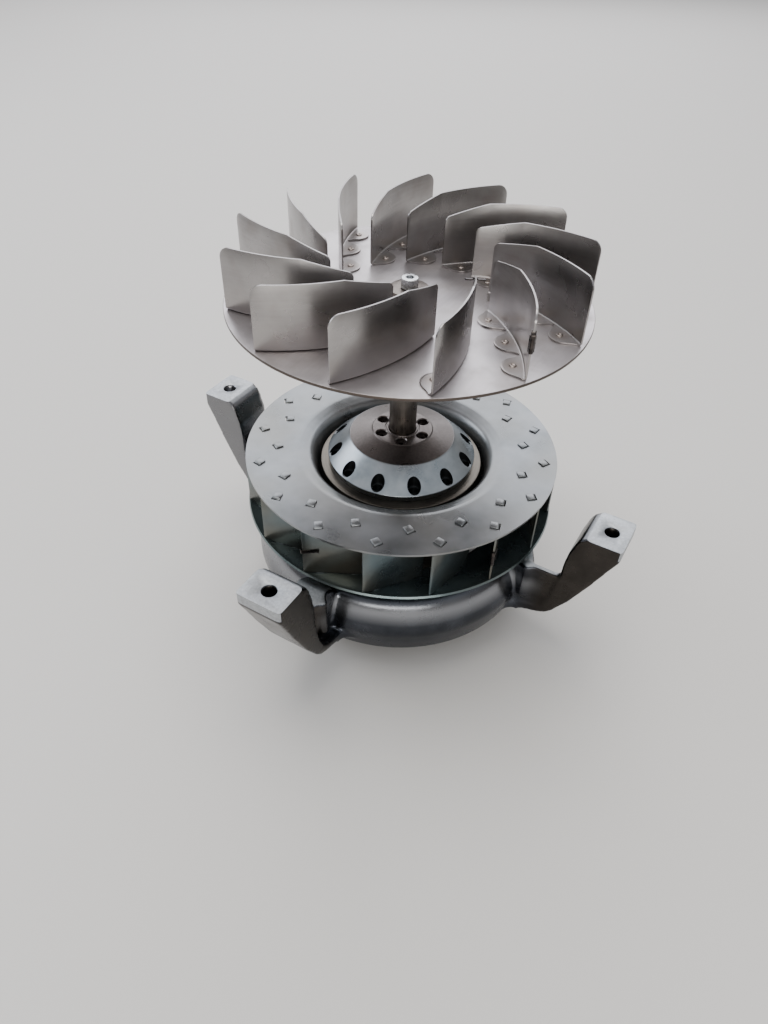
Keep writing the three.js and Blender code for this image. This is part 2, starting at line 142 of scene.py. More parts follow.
softbox("back_softbox", place=(-0.95, 1.70, 1.25), aim=(0, 0, 0.15), width=2.2, height=1.7,
        watts=34, colour=0xF8F9FF)
softbox("overhead_softbox", place=(-0.2, 0.1, 1.8), aim=(0, 0, 0.1), width=1.3, height=1.1,
        watts=20, colour=0xFFFCF7)
softbox("side_softbox", place=(-1.5, -0.25, 0.9), aim=(0, 0, 0.12), width=0.9, height=0.8,
        watts=9, colour=0xEFF5FF)
softbox("front_softbox", place=(0.62, -1.15, 0.42), aim=(0, 0, 0.05), width=1.1, height=0.30,
        watts=7, colour=0xFFFDF8)

WORLD_TOP = 0xE0E3E8
WORLD_HORIZON = 0x88827C
WORLD_TOP_HEIGHT = 0.7
world = bpy.data.worlds.new("studio_air")
world.use_nodes = True
world_tree = world.node_tree
world_tree.nodes.clear()
sky_direction = add_node(world_tree, "ShaderNodeTexCoord").outputs["Generated"]
sky_height = add_node(world_tree, "ShaderNodeSeparateXYZ", {0: sky_direction}).outputs["Z"]
sky_share = add_node(world_tree, "ShaderNodeMapRange", {
    "Value": sky_height, "From Max": WORLD_TOP_HEIGHT})
sky_colour = add_node(world_tree, "ShaderNodeMix", {
    "Factor": sky_share, "A": WORLD_HORIZON, "B": WORLD_TOP}, data_type="RGBA")
sky_light = add_node(world_tree, "ShaderNodeBackground", {"Color": sky_colour, "Strength": 1.0})
add_node(world_tree, "ShaderNodeOutputWorld", {"Surface": sky_light})
bpy.context.scene.world = world


# Bracket casting: ring, nozzle, arms and motor spider are one die casting of aluminium.
# It is meshed as one skin with cast fillets, then the pads are faced and their holes drilled.
# Sizes are in millimetres, here and in every section below.
MM = 0.001
RING_STEPS = 144
RING_WALL = 3.6
ARM_COUNT = 4
ARM_HALF_WIDTH = 13.0
ARM_FLOOR_LOW_Z = 24.0
ARM_FLOOR_TOP_Z = 29.0
FLOOR_INNER_END = 60.0
FLOOR_FILLET = 8.0
FLOOR_FILLET_STEPS = 8
FLOOR_RING_RADIUS = 83.0
WEB_THICK = 3.2
WEB_SIDE = 12.0
WEB_TOP_Z = 61.5
BLOCK_SIDE = 6.5
BOSS_RADIUS = 3.8
BOSS_LOW_Z = 37.0
BOSS_UNDER_WEB = 0.8
GUSSET_LOW_Z = 46.0
GUSSET_UNDER_WEB = 2.0
RIB_WIDTH = 9.0
RIB_INNER_END = 30.0
RIB_OUTER_END = 79.0
RIB_OUTER_RISE = 3.0
RIB_OUTER_TOP_Z = 26.5
HUB_RADIUS = 38.0
HUB_TOP_Z = 24.0
PAD_THREAD_CIRCLE = 125.3
PAD_HOLE_RADIUS = 3.5
PAD_CHAMFER_RADIUS = 4.2
PAD_CHAMFER = PAD_CHAMFER_RADIUS - PAD_HOLE_RADIUS
PAD_HOLE_FLOOR_Z = 79.0
DRILL_POINT = 1.8
FACING_START = 100.0
FACING_END = 150.0
FACING_TOP_Z = 110.0
FACING_HALF_WIDTH = 20.0
SKIN_CELL = 1.0
SKIN_SMOOTHING = 12
SKIN_SHARE_KEPT = 0.45

ring_low, ring_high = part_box("bracket_ring")
arm_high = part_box("bracket_arm_east")[1]
spider_low, spider_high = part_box("motor_spider")
RING_LIP_Z = ring_low.z / MM
RING_RADIUS = ring_high.x / MM
RING_TOP_Z = ring_high.z / MM
PAD_OUTER = arm_high.x / MM
PAD_TOP_Z = arm_high.z / MM
SPIDER_LOW_Z = spider_low.z / MM
SPIDER_TOP_Z = spider_high.z / MM


def link_mesh(name, build):
    """A new object at the origin from a bmesh whose points are in millimetres."""
    bmesh.ops.remove_doubles(build, verts=build.verts, dist=1e-4)
    bmesh.ops.recalc_face_normals(build, faces=build.faces)
    bmesh.ops.scale(build, vec=(MM, MM, MM), verts=build.verts)
    mesh = bpy.data.meshes.new(name)
    build.to_mesh(mesh)
    build.free()
    made = bpy.data.objects.new(name, mesh)
    bpy.context.scene.collection.objects.link(made)
    return made


def curve_points(points, count):
    """Evenly counted points on a smooth curve through the given (radius, height) points."""
    spline_points = [Vector(p) for p in points]
    ends = [2 * spline_points[0] - spline_points[1], 2 * spline_points[-1] - spline_points[-2]]
    padded = [ends[0], *spline_points, ends[1]]
    made = []
    for step in range(count + 1):
        place = step / count * (len(points) - 1)
        span = min(int(place), len(points) - 2)
        t = place - span
        a, b, c, d = padded[span:span + 4]
        made.append(0.5 * (2 * b + (c - a) * t + (2 * a - 5 * b + 4 * c - d) * t * t
                           + (3 * b - a - 3 * c + d) * t ** 3))
    return [tuple(p) for p in made]


def spin(build, outline, steps=RING_STEPS, centre=(0, 0)):
    """A closed outline of (radius, height) points turned once round an upright axis."""
    turns = [2 * math.pi * i / steps for i in range(steps)]
    rings = []
    for radius, height in outline:
        if radius == 0:
            rings.append([build.verts.new((*centre, height))] * steps)
            continue
        around = [(centre[0] + radius * math.cos(a), centre[1] + radius * math.sin(a)) for a in turns]
        rings.append([build.verts.new((x, y, height)) for x, y in around])
    for ring, following in zip(rings, rings[1:] + rings[:1]):
        for i in range(steps):
            j = (i + 1) % steps
            corners = [ring[i], ring[j], following[j], following[i]]
            corners = [c for k, c in enumerate(corners) if c not in corners[:k]]
            if len(corners) > 2:
                build.faces.new(corners)


def prism(build, outline, low, high, place=None):
    """An outline in the XZ plane drawn out along Y from low to high, then put in its place."""
    near = [build.verts.new((x, low, z)) for x, z in outline]
    far = [build.verts.new((x, high, z)) for x, z in outline]
    build.faces.new(near)
    build.faces.new(far[::-1])
    for i in range(len(outline)):
        j = (i + 1) % len(outline)
        build.faces.new((near[j], near[i], far[i], far[j]))
    if place is not None:
        bmesh.ops.transform(build, matrix=place, verts=near + far)


def cylinder(build, x, y, radius, low, high, sides=48):
    """An upright closed cylinder."""
    bmesh.ops.create_cone(build, cap_ends=True, segments=sides, radius1=radius, radius2=radius,
                          depth=high - low, matrix=Matrix.Translation((x, y, (low + high) / 2)))


def settle(piece):
    """Turns a piece with its modifiers into a plain mesh."""
    bpy.context.view_layer.update()
    done = bpy.data.meshes.new_from_object(piece.evaluated_get(bpy.context.evaluated_depsgraph_get()))
    piece.modifiers.clear()
    piece.data = done
    return piece


def cut(piece, cutter):
    """Takes the cutter's shape out of the piece and deletes the cutter."""
    change = piece.modifiers.new("cut", "BOOLEAN")
    change.operation = "DIFFERENCE"
    change.solver = "EXACT"
    change.object = cutter
    settle(piece)
    bpy.data.objects.remove(cutter)


def round_axis_tree():
    """A node tree that copies a pattern evenly round the shaft axis and gives it one finish."""
    tree = bpy.data.node_groups.new("round_axis", "GeometryNodeTree")
    names = {}
    for name, kind in (("Pattern", "NodeSocketObject"), ("Count", "NodeSocketInt"),
                       ("First Angle", "NodeSocketFloat"), ("Finish", "NodeSocketMaterial")):
        names[name] = tree.interface.new_socket(name, in_out="INPUT", socket_type=kind).identifier
    tree.interface.new_socket("Geometry", in_out="OUTPUT", socket_type="NodeSocketGeometry")
    given = add_node(tree, "NodeGroupInput").outputs
    points = add_node(tree, "GeometryNodePoints", {"Count": given["Count"]})
    number = add_node(tree, "GeometryNodeInputIndex")
    step = add_node(tree, "ShaderNodeMath", {0: 2 * math.pi, 1: given["Count"]}, operation="DIVIDE")
    angle = add_node(tree, "ShaderNodeMath", {0: number, 1: step, 2: given["First Angle"]},
                     operation="MULTIPLY_ADD")
    turn = add_node(tree, "ShaderNodeCombineXYZ", {"Z": angle})
    rotation = add_node(tree, "FunctionNodeEulerToRotation", {"Euler": turn})
    pattern = add_node(tree, "GeometryNodeObjectInfo", {"Object": given["Pattern"]}).outputs["Geometry"]
    copies = add_node(tree, "GeometryNodeInstanceOnPoints", {
        "Points": points, "Instance": pattern, "Rotation": rotation})
    meshes = add_node(tree, "GeometryNodeRealizeInstances", {"Geometry": copies})
    finished = add_node(tree, "GeometryNodeSetMaterial", {
        "Geometry": meshes, "Material": given["Finish"]})
    add_node(tree, "NodeGroupOutput", {"Geometry": finished})
    return tree, names


copy_tree, copy_inputs = round_axis_tree()


def repeat_round_axis(name, pattern, count, first_degrees=0.0, finish=None):
    """One plain mesh of a pattern repeated round the shaft axis; the pattern is deleted."""
    made = bpy.data.objects.new(name, bpy.data.meshes.new(name))
    bpy.context.scene.collection.objects.link(made)
    copies = made.modifiers.new("copies", "NODES")
    copies.node_group = copy_tree
    copies[copy_inputs["Pattern"]] = pattern
    copies[copy_inputs["Count"]] = count
    copies[copy_inputs["First Angle"]] = math.radians(first_degrees)
    if finish is not None:
        copies[copy_inputs["Finish"]] = finish
    settle(made)
    bpy.data.objects.remove(pattern)
    return made


def dress(piece, material, body, crease=35, stands_for=()):
    """Gives a finished mesh its finish, its shading, its body and the nodes it stands for."""
    piece.data.materials.clear()
    piece.data.materials.append(material)
    piece.data.shade_smooth()
    piece.data.set_sharp_from_angle(angle=math.radians(crease))
    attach(piece, body)
    if stands_for:
        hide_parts(*stands_for)


# Upright sections of the ring's skin, of an arm's leg and of its web, as (radius, height) points.
ring_outside = curve_points([
    (80, RING_LIP_Z), (RING_RADIUS - 1.2, 28), (RING_RADIUS, 37), (RING_RADIUS - 4.1, 51),
    (74.5, RING_TOP_Z - 1.2), (69, RING_TOP_Z), (63.5, RING_TOP_Z - 1.4), (59, RING_TOP_Z - 7),
    (56, 26)], 40)
ring_inside = curve_points([
    (56 + RING_WALL, 26), (62.6, RING_TOP_Z - 9), (69, RING_TOP_Z - RING_WALL),
    (73.5, RING_TOP_Z - 1.2 - RING_WALL), (RING_RADIUS - 7.7, 49), (RING_RADIUS - RING_WALL, 37),
    (80 - RING_WALL, RING_LIP_Z)], 30)
leg_outline = [
    (107, 58), (104.5, 45), (101, 36.5), (96.5, 32.5), (80, 29.5), (80, 22.5), (88, 25.3), (99, 28.6),
    (103.5, 30.2), (108, 35), (114.5, 45), (125, 66), (129.5, 76), (PAD_OUTER, 87),
    (PAD_OUTER, PAD_TOP_Z + 2), (119, PAD_TOP_Z + 2), (115.5, PAD_TOP_Z - 0.2), (112.8, PAD_TOP_Z - 2.2),
    (111.2, 89), (108.6, 80), (107.3, 70)]
web_outline = [
    (80, 23.5), (88, 26), (100, 30.5), (110, 45), (110, WEB_TOP_Z), (87, WEB_TOP_Z), (80, RING_TOP_Z),
    (78.5, 50)]


def floor_outline():
    """Plan of an arm's floor: as wide as the arm, with a hollow fillet into the ring on both sides."""
    centre_y = ARM_HALF_WIDTH + FLOOR_FILLET
    centre_x = math.sqrt((FLOOR_RING_RADIUS + FLOOR_FILLET) ** 2 - centre_y ** 2)
    turn = math.atan2(centre_y, centre_x)
    fillet = []
    for step in range(FLOOR_FILLET_STEPS + 1):
        angle = -math.pi / 2 - (math.pi / 2 - turn) * step / FLOOR_FILLET_STEPS
        fillet.append((centre_x + FLOOR_FILLET * math.cos(angle),
                       centre_y + FLOOR_FILLET * math.sin(angle)))
    return [(FLOOR_INNER_END, 0)] + [(x, -y) for x, y in fillet[::-1]] + fillet


# Two arms have a thin web along one side, and the two between them a broad block: its two sides
# and the place of its boss. A gusset thickens the web's root.
WEB_ARM = (-WEB_SIDE, WEB_THICK - WEB_SIDE, (88.8, -10.6))
BLOCK_ARM = (-WEB_SIDE, BLOCK_SIDE, (94.0, 6.4))
WEB_GUSSET = [(78, WEB_SIDE), (93, WEB_SIDE), (90, 4), (86, -4), (78, -8)]

casting_build = bmesh.new()
spin(casting_build, ring_outside + ring_inside)
for quarter, (web_low, web_high, boss_place) in enumerate((WEB_ARM, BLOCK_ARM, WEB_ARM, BLOCK_ARM)):
    turn = Matrix.Rotation(math.pi / 2 * quarter, 4, "Z")
    prism(casting_build, leg_outline, -ARM_HALF_WIDTH, ARM_HALF_WIDTH, turn)
    prism(casting_build, web_outline, web_low, web_high, turn)
    lay_flat = turn @ Matrix.Rotation(math.pi / 2, 4, "X")
    prism(casting_build, floor_outline(), ARM_FLOOR_LOW_Z, ARM_FLOOR_TOP_Z, lay_flat)
    boss = turn @ Vector((*boss_place, 0))
    cylinder(casting_build, boss.x, boss.y, BOSS_RADIUS, BOSS_LOW_Z, WEB_TOP_Z - BOSS_UNDER_WEB, sides=24)
    rib = Matrix.Rotation(math.pi / 2 * quarter + math.pi / 4, 4, "Z")
    prism(casting_build, [
        (RIB_INNER_END, SPIDER_LOW_Z), (RIB_OUTER_END, SPIDER_LOW_Z + RIB_OUTER_RISE),
        (RIB_OUTER_END, RIB_OUTER_TOP_Z), (RIB_INNER_END, SPIDER_TOP_Z)],
        -RIB_WIDTH / 2, RIB_WIDTH / 2, rib)
    if web_high < 0:
        prism(casting_build, WEB_GUSSET, GUSSET_LOW_Z, WEB_TOP_Z - GUSSET_UNDER_WEB, lay_flat)
cylinder(casting_build, 0, 0, HUB_RADIUS, SPIDER_LOW_Z, HUB_TOP_Z, sides=96)
casting = link_mesh("bracket_casting", casting_build)
skin = casting.modifiers.new("skin", "REMESH")
skin.mode = "VOXEL"
skin.voxel_size = SKIN_CELL * MM
fillets = casting.modifiers.new("fillets", "SMOOTH")
fillets.factor = 0.5
fillets.iterations = SKIN_SMOOTHING
thinning = casting.modifiers.new("thinning", "DECIMATE")
thinning.ratio = SKIN_SHARE_KEPT
settle(casting)

facing_build = bmesh.new()
prism(facing_build, [
    (FACING_START, PAD_TOP_Z), (FACING_END, PAD_TOP_Z), (FACING_END, FACING_TOP_Z),
    (FACING_START, FACING_TOP_Z)], -FACING_HALF_WIDTH, FACING_HALF_WIDTH)
cut(casting, repeat_round_axis("pad_facing", link_mesh("facing_cutter", facing_build), ARM_COUNT))
drill_build = bmesh.new()
spin(drill_build, [
    (0, PAD_HOLE_FLOOR_Z - DRILL_POINT), (PAD_HOLE_RADIUS, PAD_HOLE_FLOOR_Z),
    (PAD_HOLE_RADIUS, PAD_TOP_Z - PAD_CHAMFER),
    (PAD_CHAMFER_RADIUS + PAD_CHAMFER, PAD_TOP_Z + PAD_CHAMFER), (0, PAD_TOP_Z + PAD_CHAMFER)],
    steps=48, centre=(PAD_THREAD_CIRCLE, 0))
cut(casting, repeat_round_axis("pad_holes", link_mesh("drill_cutter", drill_build), ARM_COUNT))


# The casting's painted light and shade: faced pads, pad ends, the ring's lip and level tops are painted
# lit, and the legs out past the ring are painted in shade.
FACED_NORMAL_Z = 0.99
FACED_DEPTH = 0.1
END_LIGHT_Z = 88.0
END_LIGHT_DEPTH = 0.8
LIP_LIGHT_RADIUS = 77.0
LIP_LIGHT_HEIGHT = 0.9
LEG_SHADE_RADIUS = 88.0
LEG_SHADE_BLEND = 12.0
LEVEL_START = 0.6
LEVEL_BLEND = 0.25


def share_past(value, start, length):
    """How far a value has gone past a start: 0 there and 1 a length further on."""
    return min(1.0, max(0.0, (value - start) / length))


def mark_cast_painted_light(piece):
    """Stores painted light and shade: 1, painted lit, on rough level tops and ends; 0.5 on the ring; 0,
    painted shade, out on the legs.
    """
    painted_light_share = piece.data.attributes.new("cast_painted_light", "FLOAT", "CORNER").data
    for face in piece.data.polygons:
        for corner in face.loop_indices:
            vertex = piece.data.vertices[piece.data.loops[corner].vertex_index]
            point = vertex.co / MM
            radius = math.hypot(point.x, point.y)
            faced = face.normal.z > FACED_NORMAL_Z and point.z > PAD_TOP_Z - FACED_DEPTH
            at_end = radius > PAD_OUTER - END_LIGHT_DEPTH and point.z > END_LIGHT_Z
            at_lip = radius > LIP_LIGHT_RADIUS and point.z < RING_LIP_Z + LIP_LIGHT_HEIGHT
            level = (share_past(vertex.normal.z, LEVEL_START, LEVEL_BLEND)
                     * share_past(point.z, RING_TOP_Z, 1.0))
            ring_share = 0.5 * (1 - share_past(radius, LEG_SHADE_RADIUS, LEG_SHADE_BLEND))
            painted_light_share[corner].value = 1.0 if faced or at_end or at_lip else max(level, ring_share)


# Die-cast aluminium, one alloy in painted lit and shaded tones: level tops are rough and painted
# pale as lit from above, the ring is dark with a painted highlight band along its shoulder, and
# the legs are painted dark as shade. The west side is painted paler, as lit from the left. Fine
# pitting breaks the long highlights up. Here and below, grain sizes and depths are in millimetres.
CAST_CLOUD = 18.0
CAST_PIT = 1.3
CAST_PIT_DEPTH = 0.04
SHOULDER_RISE_Z = (40.0, 47.0)
SHOULDER_FALL_Z = (49.0, 54.0)
SHOULDER_SHARE = 0.75
WEST_LIGHT_X = (-50.0, -12.0)
WEST_LIGHT_SHARE = 0.65
TOP_LIGHT_RANGE = (0.6, 0.9)
TOP_DULLER = 0.24
GRAIN_LOW = 0.3
GRAIN_HIGH = 0.7
GRAIN_ROUGHNESS = 0.55


def cast_aluminium():
    material, tree = new_material("die_cast_aluminium")
    place = add_node(tree, "ShaderNodeTexCoord").outputs["Object"]
    sides = add_node(tree, "ShaderNodeSeparateXYZ", {0: place}).outputs
    skin = add_node(tree, "ShaderNodeAttribute", attribute_name="cast_painted_light").outputs["Fac"]
    clouds = add_node(tree, "ShaderNodeTexNoise", {
        "Vector": place, "Scale": 1 / (CAST_CLOUD * MM), "Detail": 5.0, "Roughness": GRAIN_ROUGHNESS})
    cloudy = add_node(tree, "ShaderNodeMapRange", {
        "Value": clouds, "From Min": GRAIN_LOW, "From Max": GRAIN_HIGH})
    pitting = add_node(tree, "ShaderNodeTexNoise", {
        "Vector": place, "Scale": 1 / (CAST_PIT * MM), "Detail": 3.0, "Roughness": GRAIN_ROUGHNESS})
    pitted = add_node(tree, "ShaderNodeMapRange", {
        "Value": pitting, "From Min": GRAIN_LOW, "From Max": GRAIN_HIGH})
    ring = add_node(tree, "ShaderNodeMix", {"Factor": cloudy, "A": 0x323439, "B": 0x4D5056},
                    data_type="RGBA")
    # Painted highlight: a lighter band along the ring's shoulder, in place of a reflection of the light.
    rise = add_node(tree, "ShaderNodeMapRange", {
        "Value": sides["Z"], "From Min": SHOULDER_RISE_Z[0] * MM, "From Max": SHOULDER_RISE_Z[1] * MM})
    fall = add_node(tree, "ShaderNodeMapRange", {
        "Value": sides["Z"], "From Min": SHOULDER_FALL_Z[0] * MM, "From Max": SHOULDER_FALL_Z[1] * MM,
        "To Min": SHOULDER_SHARE, "To Max": 0.0})
    shoulder_highlight = add_node(tree, "ShaderNodeMath", {0: rise, 1: fall}, operation="MULTIPLY")
    shoulder = add_node(tree, "ShaderNodeMix", {"Factor": shoulder_highlight, "A": ring, "B": 0x8F9195},
                        data_type="RGBA")
    # Painted shade: the legs get a darker brown tone than the ring.
    leg = add_node(tree, "ShaderNodeMix", {"Factor": cloudy, "A": 0x322F2D, "B": 0x47433F},
                   data_type="RGBA")
    off_leg = add_node(tree, "ShaderNodeMapRange", {"Value": skin, "From Max": 0.5})
    with_leg_shade = add_node(tree, "ShaderNodeMix", {"Factor": off_leg, "A": leg, "B": shoulder},
                    data_type="RGBA")
    # Painted light: the west side is mixed towards pale grey, as lit from the left.
    to_west = add_node(tree, "ShaderNodeMapRange", {
        "Value": sides["X"], "From Min": WEST_LIGHT_X[0] * MM, "From Max": WEST_LIGHT_X[1] * MM,
        "To Min": WEST_LIGHT_SHARE, "To Max": 0.0})
    wiped_and_west_lit = add_node(tree, "ShaderNodeMix", {"Factor": to_west, "A": with_leg_shade, "B": 0x8E8F92},
                     data_type="RGBA")
    # Painted light: level tops, pad ends and the lip are pale, as lit from above; the faced pads are also
    # machined.
    top = add_node(tree, "ShaderNodeMix", {"Factor": pitted, "A": 0x9C9FA3, "B": 0xB6B9BC},
                   data_type="RGBA")
    on_top = add_node(tree, "ShaderNodeMapRange", {
        "Value": skin, "From Min": TOP_LIGHT_RANGE[0], "From Max": TOP_LIGHT_RANGE[1]})
    colour = add_node(tree, "ShaderNodeMix", {"Factor": on_top, "A": wiped_and_west_lit, "B": top},
                      data_type="RGBA")
    sheen = add_node(tree, "ShaderNodeMapRange", {
        "Value": clouds, "From Min": GRAIN_LOW, "From Max": GRAIN_HIGH, "To Min": 0.20, "To Max": 0.32})
    dulled = add_node(tree, "ShaderNodeMath", {0: on_top, 1: TOP_DULLER, 2: sheen},
                      operation="MULTIPLY_ADD")
    relief = add_node(tree, "ShaderNodeBump", {
        "Height": pitting, "Distance": CAST_PIT_DEPTH * MM, "Strength": 1.0})
    shader = add_node(tree, "ShaderNodeBsdfPrincipled", {
        "Base Color": colour, "Metallic": 1.0, "Roughness": dulled, "Normal": relief})
    add_node(tree, "ShaderNodeOutputMaterial", {"Surface": shader})
    return material


die_cast = cast_aluminium()
mark_cast_painted_light(casting)
dress(casting, die_cast, "bracket", crease=55, stands_for=(
    "bracket_ring", "inlet_nozzle", "bracket_arm_east", "bracket_arm_north", "bracket_arm_west",
    "bracket_arm_south", "motor_spider"))


# Motor foot: a turned flange of the same alloy under the motor, held to the hub from below
# by four socket screws. The fan stands on it.
FOOT_SCREWS = 4
FOOT_FIRST_SCREW = 45.0
FOOT_SCREW_CIRCLE = 25.0
FOOT_SCREW_RADIUS = 3.5
FOOT_SCREW_LOW_Z = 1.4
FOOT_SCREW_HIGH_Z = 4.9
FOOT_SOCKET_RADIUS = 1.7
FOOT_SOCKET_DEPTH = 1.8
COUNTERBORE_ROOM = 0.4
COUNTERBORE_TOP_Z = 5.0
foot_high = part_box("motor_foot")[1]
FOOT_RADIUS = foot_high.x / MM
FOOT_TOP_Z = foot_high.z / MM


def soften(outline, reach, steps=3, edge_share=0.4):
    """A closed outline with its corners off the axis rounded, over at most a share of each edge."""
    made = []
    for i, corner in enumerate(outline):
        here = Vector(corner)
        if here.x == 0:
            made.append(corner)
            continue
        before = Vector(outline[i - 1]) - here
        after = Vector(outline[(i + 1) % len(outline)]) - here
        start = here + before.normalized() * min(reach, before.length * edge_share)
        end = here + after.normalized() * min(reach, after.length * edge_share)
        for step in range(steps + 1):
            t = step / steps
            made.append(tuple(start * (1 - t) ** 2 + here * 2 * t * (1 - t) + end * t * t))
    return made


foot_build = bmesh.new()
spin(foot_build, soften([
    (0, 1.2), (16, 1.2), (17, 0), (FOOT_RADIUS - 1, 0), (FOOT_RADIUS, 1), (FOOT_RADIUS, 5.5),
    (FOOT_RADIUS - 1.2, 6), (FOOT_RADIUS - 1.2, 7), (FOOT_RADIUS, 7.5), (FOOT_RADIUS, FOOT_TOP_Z - 0.6),
    (FOOT_RADIUS - 0.6, FOOT_TOP_Z), (0, FOOT_TOP_Z)], 0.4))
motor_foot = link_mesh("motor_foot_flange", foot_build)
counterbore_build = bmesh.new()
cylinder(counterbore_build, FOOT_SCREW_CIRCLE, 0, FOOT_SCREW_RADIUS + COUNTERBORE_ROOM, -1,
         COUNTERBORE_TOP_Z, sides=32)
cut(motor_foot, repeat_round_axis("counterbores", link_mesh("counterbore", counterbore_build),
                                  FOOT_SCREWS, FOOT_FIRST_SCREW))
mark_cast_painted_light(motor_foot)
dress(motor_foot, die_cast, "bracket", stands_for=("motor_foot",))


# Zinc-plated steel: bright and a little bluish, so that small screws sparkle against the
# darker sheets.
PLATING_CLOUD = 2.5


def zinc_plate():
    material, tree = new_material("zinc_plated_steel")
    place = add_node(tree, "ShaderNodeTexCoord").outputs["Object"]
    clouds = add_node(tree, "ShaderNodeTexNoise", {
        "Vector": place, "Scale": 1 / (PLATING_CLOUD * MM), "Detail": 4.0, "Roughness": GRAIN_ROUGHNESS})
    cloudy = add_node(tree, "ShaderNodeMapRange", {
        "Value": clouds, "From Min": GRAIN_LOW, "From Max": GRAIN_HIGH})
    colour = add_node(tree, "ShaderNodeMix", {"Factor": cloudy, "A": 0xB4B6B8, "B": 0xE4E5E6},
                      data_type="RGBA")
    sheen = add_node(tree, "ShaderNodeMapRange", {
        "Value": clouds, "From Min": GRAIN_LOW, "From Max": GRAIN_HIGH, "To Min": 0.16, "To Max": 0.32})
    shader = add_node(tree, "ShaderNodeBsdfPrincipled", {
        "Base Color": colour, "Metallic": 1.0, "Roughness": sheen})
    add_node(tree, "ShaderNodeOutputMaterial", {"Surface": shader})
    return material


bright_zinc = zinc_plate()
foot_screw_build = bmesh.new()
spin(foot_screw_build, soften([
    (0, FOOT_SCREW_LOW_Z), (FOOT_SCREW_RADIUS, FOOT_SCREW_LOW_Z), (FOOT_SCREW_RADIUS, FOOT_SCREW_HIGH_Z),
    (0, FOOT_SCREW_HIGH_Z)], 0.35), steps=48, centre=(FOOT_SCREW_CIRCLE, 0))
foot_screw = link_mesh("foot_screw", foot_screw_build)
foot_socket_build = bmesh.new()
cylinder(foot_socket_build, FOOT_SCREW_CIRCLE, 0, FOOT_SOCKET_RADIUS,
         FOOT_SCREW_LOW_Z - FOOT_SOCKET_DEPTH, FOOT_SCREW_LOW_Z + FOOT_SOCKET_DEPTH, sides=6)
cut(foot_screw, link_mesh("socket_cutter", foot_socket_build))
foot_screws = repeat_round_axis("motor_foot_screws", foot_screw, FOOT_SCREWS, FOOT_FIRST_SCREW,
                                bright_zinc)
dress(foot_screws, bright_zinc, "bracket")


# Cable gland: the black plastic outlet of the supply on the flange's side, with a hexagon
# on the flange and a ribbed dome nut round its empty opening.
GLAND_DEGREES = 135.0
GLAND_Z = 7.0
GLAND_CORNER_RADIUS = 4.9
GLAND_HEXAGON_HEIGHT = 4.2
GLAND_REACH = 50.0
GLAND_RIBS = 12
GLAND_RIB_CIRCLE = 4.15
GLAND_RIB_RADIUS = 0.5
GLAND_START = FOOT_RADIUS + 0.3


# Black polyamide: a matt moulded skin with a faint grain.
MOULD_GRAIN = 0.7
MOULD_GRAIN_DEPTH = 0.03


def black_polyamide():
    material, tree = new_material("black_polyamide")
    place = add_node(tree, "ShaderNodeTexCoord").outputs["Object"]
    grain = add_node(tree, "ShaderNodeTexNoise", {
        "Vector": place, "Scale": 1 / (MOULD_GRAIN * MM), "Detail": 4.0, "Roughness": GRAIN_ROUGHNESS})
    grainy = add_node(tree, "ShaderNodeMapRange", {
        "Value": grain, "From Min": GRAIN_LOW, "From Max": GRAIN_HIGH})
    colour = add_node(tree, "ShaderNodeMix", {"Factor": grainy, "A": 0x17181A, "B": 0x26272A},
                      data_type="RGBA")
    relief = add_node(tree, "ShaderNodeBump", {
        "Height": grain, "Distance": MOULD_GRAIN_DEPTH * MM, "Strength": 1.0})
    shader = add_node(tree, "ShaderNodeBsdfPrincipled", {
        "Base Color": colour, "Roughness": 0.48, "Normal": relief})
    add_node(tree, "ShaderNodeOutputMaterial", {"Surface": shader})
    return material


moulded_black = black_polyamide()
nut_build = bmesh.new()
spin(nut_build, soften([
    (0, GLAND_START + 4.4), (4.3, GLAND_START + 4.4), (4.3, GLAND_REACH - 4), (3.6, GLAND_REACH - 0.8),
    (2.9, GLAND_REACH), (2.3, GLAND_REACH), (2.1, GLAND_REACH - 5), (0, GLAND_REACH - 5)], 0.4), steps=48)
gland_nut = link_mesh("gland_dome_nut", nut_build)
rib_build = bmesh.new()
cylinder(rib_build, GLAND_RIB_CIRCLE, 0, GLAND_RIB_RADIUS, GLAND_START + 5, GLAND_REACH - 4.4, sides=8)
gland_ribs = repeat_round_axis("gland_ribs", link_mesh("gland_rib", rib_build), GLAND_RIBS, 0,
                               moulded_black)
hexagon_build = bmesh.new()
cylinder(hexagon_build, 0, 0, GLAND_CORNER_RADIUS, GLAND_START, GLAND_START + GLAND_HEXAGON_HEIGHT,
         sides=6)
gland_hexagon = link_mesh("gland_hexagon", hexagon_build)
gland_place = (Matrix.Translation((0, 0, GLAND_Z * MM))
               @ Matrix.Rotation(math.radians(GLAND_DEGREES), 4, "Z")
               @ Matrix.Rotation(math.pi / 2, 4, "Y"))
for piece in (gland_nut, gland_ribs, gland_hexagon):
    piece.data.transform(gland_place)
    dress(piece, moulded_black, "bracket",
          stands_for=("cable_gland",) if piece is gland_hexagon else ())


# Stator: a slotted stack of varnished steel sheets on its bearing tube, with resin-dipped
# copper heads above and below. It shows only from underneath, between the ribs.
STACK_SLOTS = 12
STACK_FIRST_SLOT = 15.0
STACK_SLOT_START = 19.0
STACK_SLOT_HALF_WIDTH = 1.3
STACK_LOW_Z = 43.0
STACK_HIGH_Z = 72.0
BEARING_RADIUS = 4.3
TUBE_RADIUS = 12.0
HEAD_OVER_STACK = 3.2
HEAD_HALF_WIDTH = 5.2
HEAD_INNER = 19.0
HEAD_OUTER = 33.0
HEAD_INNER_HALF_HEIGHT = 2.8
HEAD_OUTER_HALF_HEIGHT = 2.4
HEAD_ROUNDING = 1.4
stator_low, stator_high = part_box("motor_stator")
STATOR_RADIUS = stator_high.x / MM
STATOR_FLANGE_Z = stator_low.z / MM
TUBE_TOP_Z = stator_high.z / MM

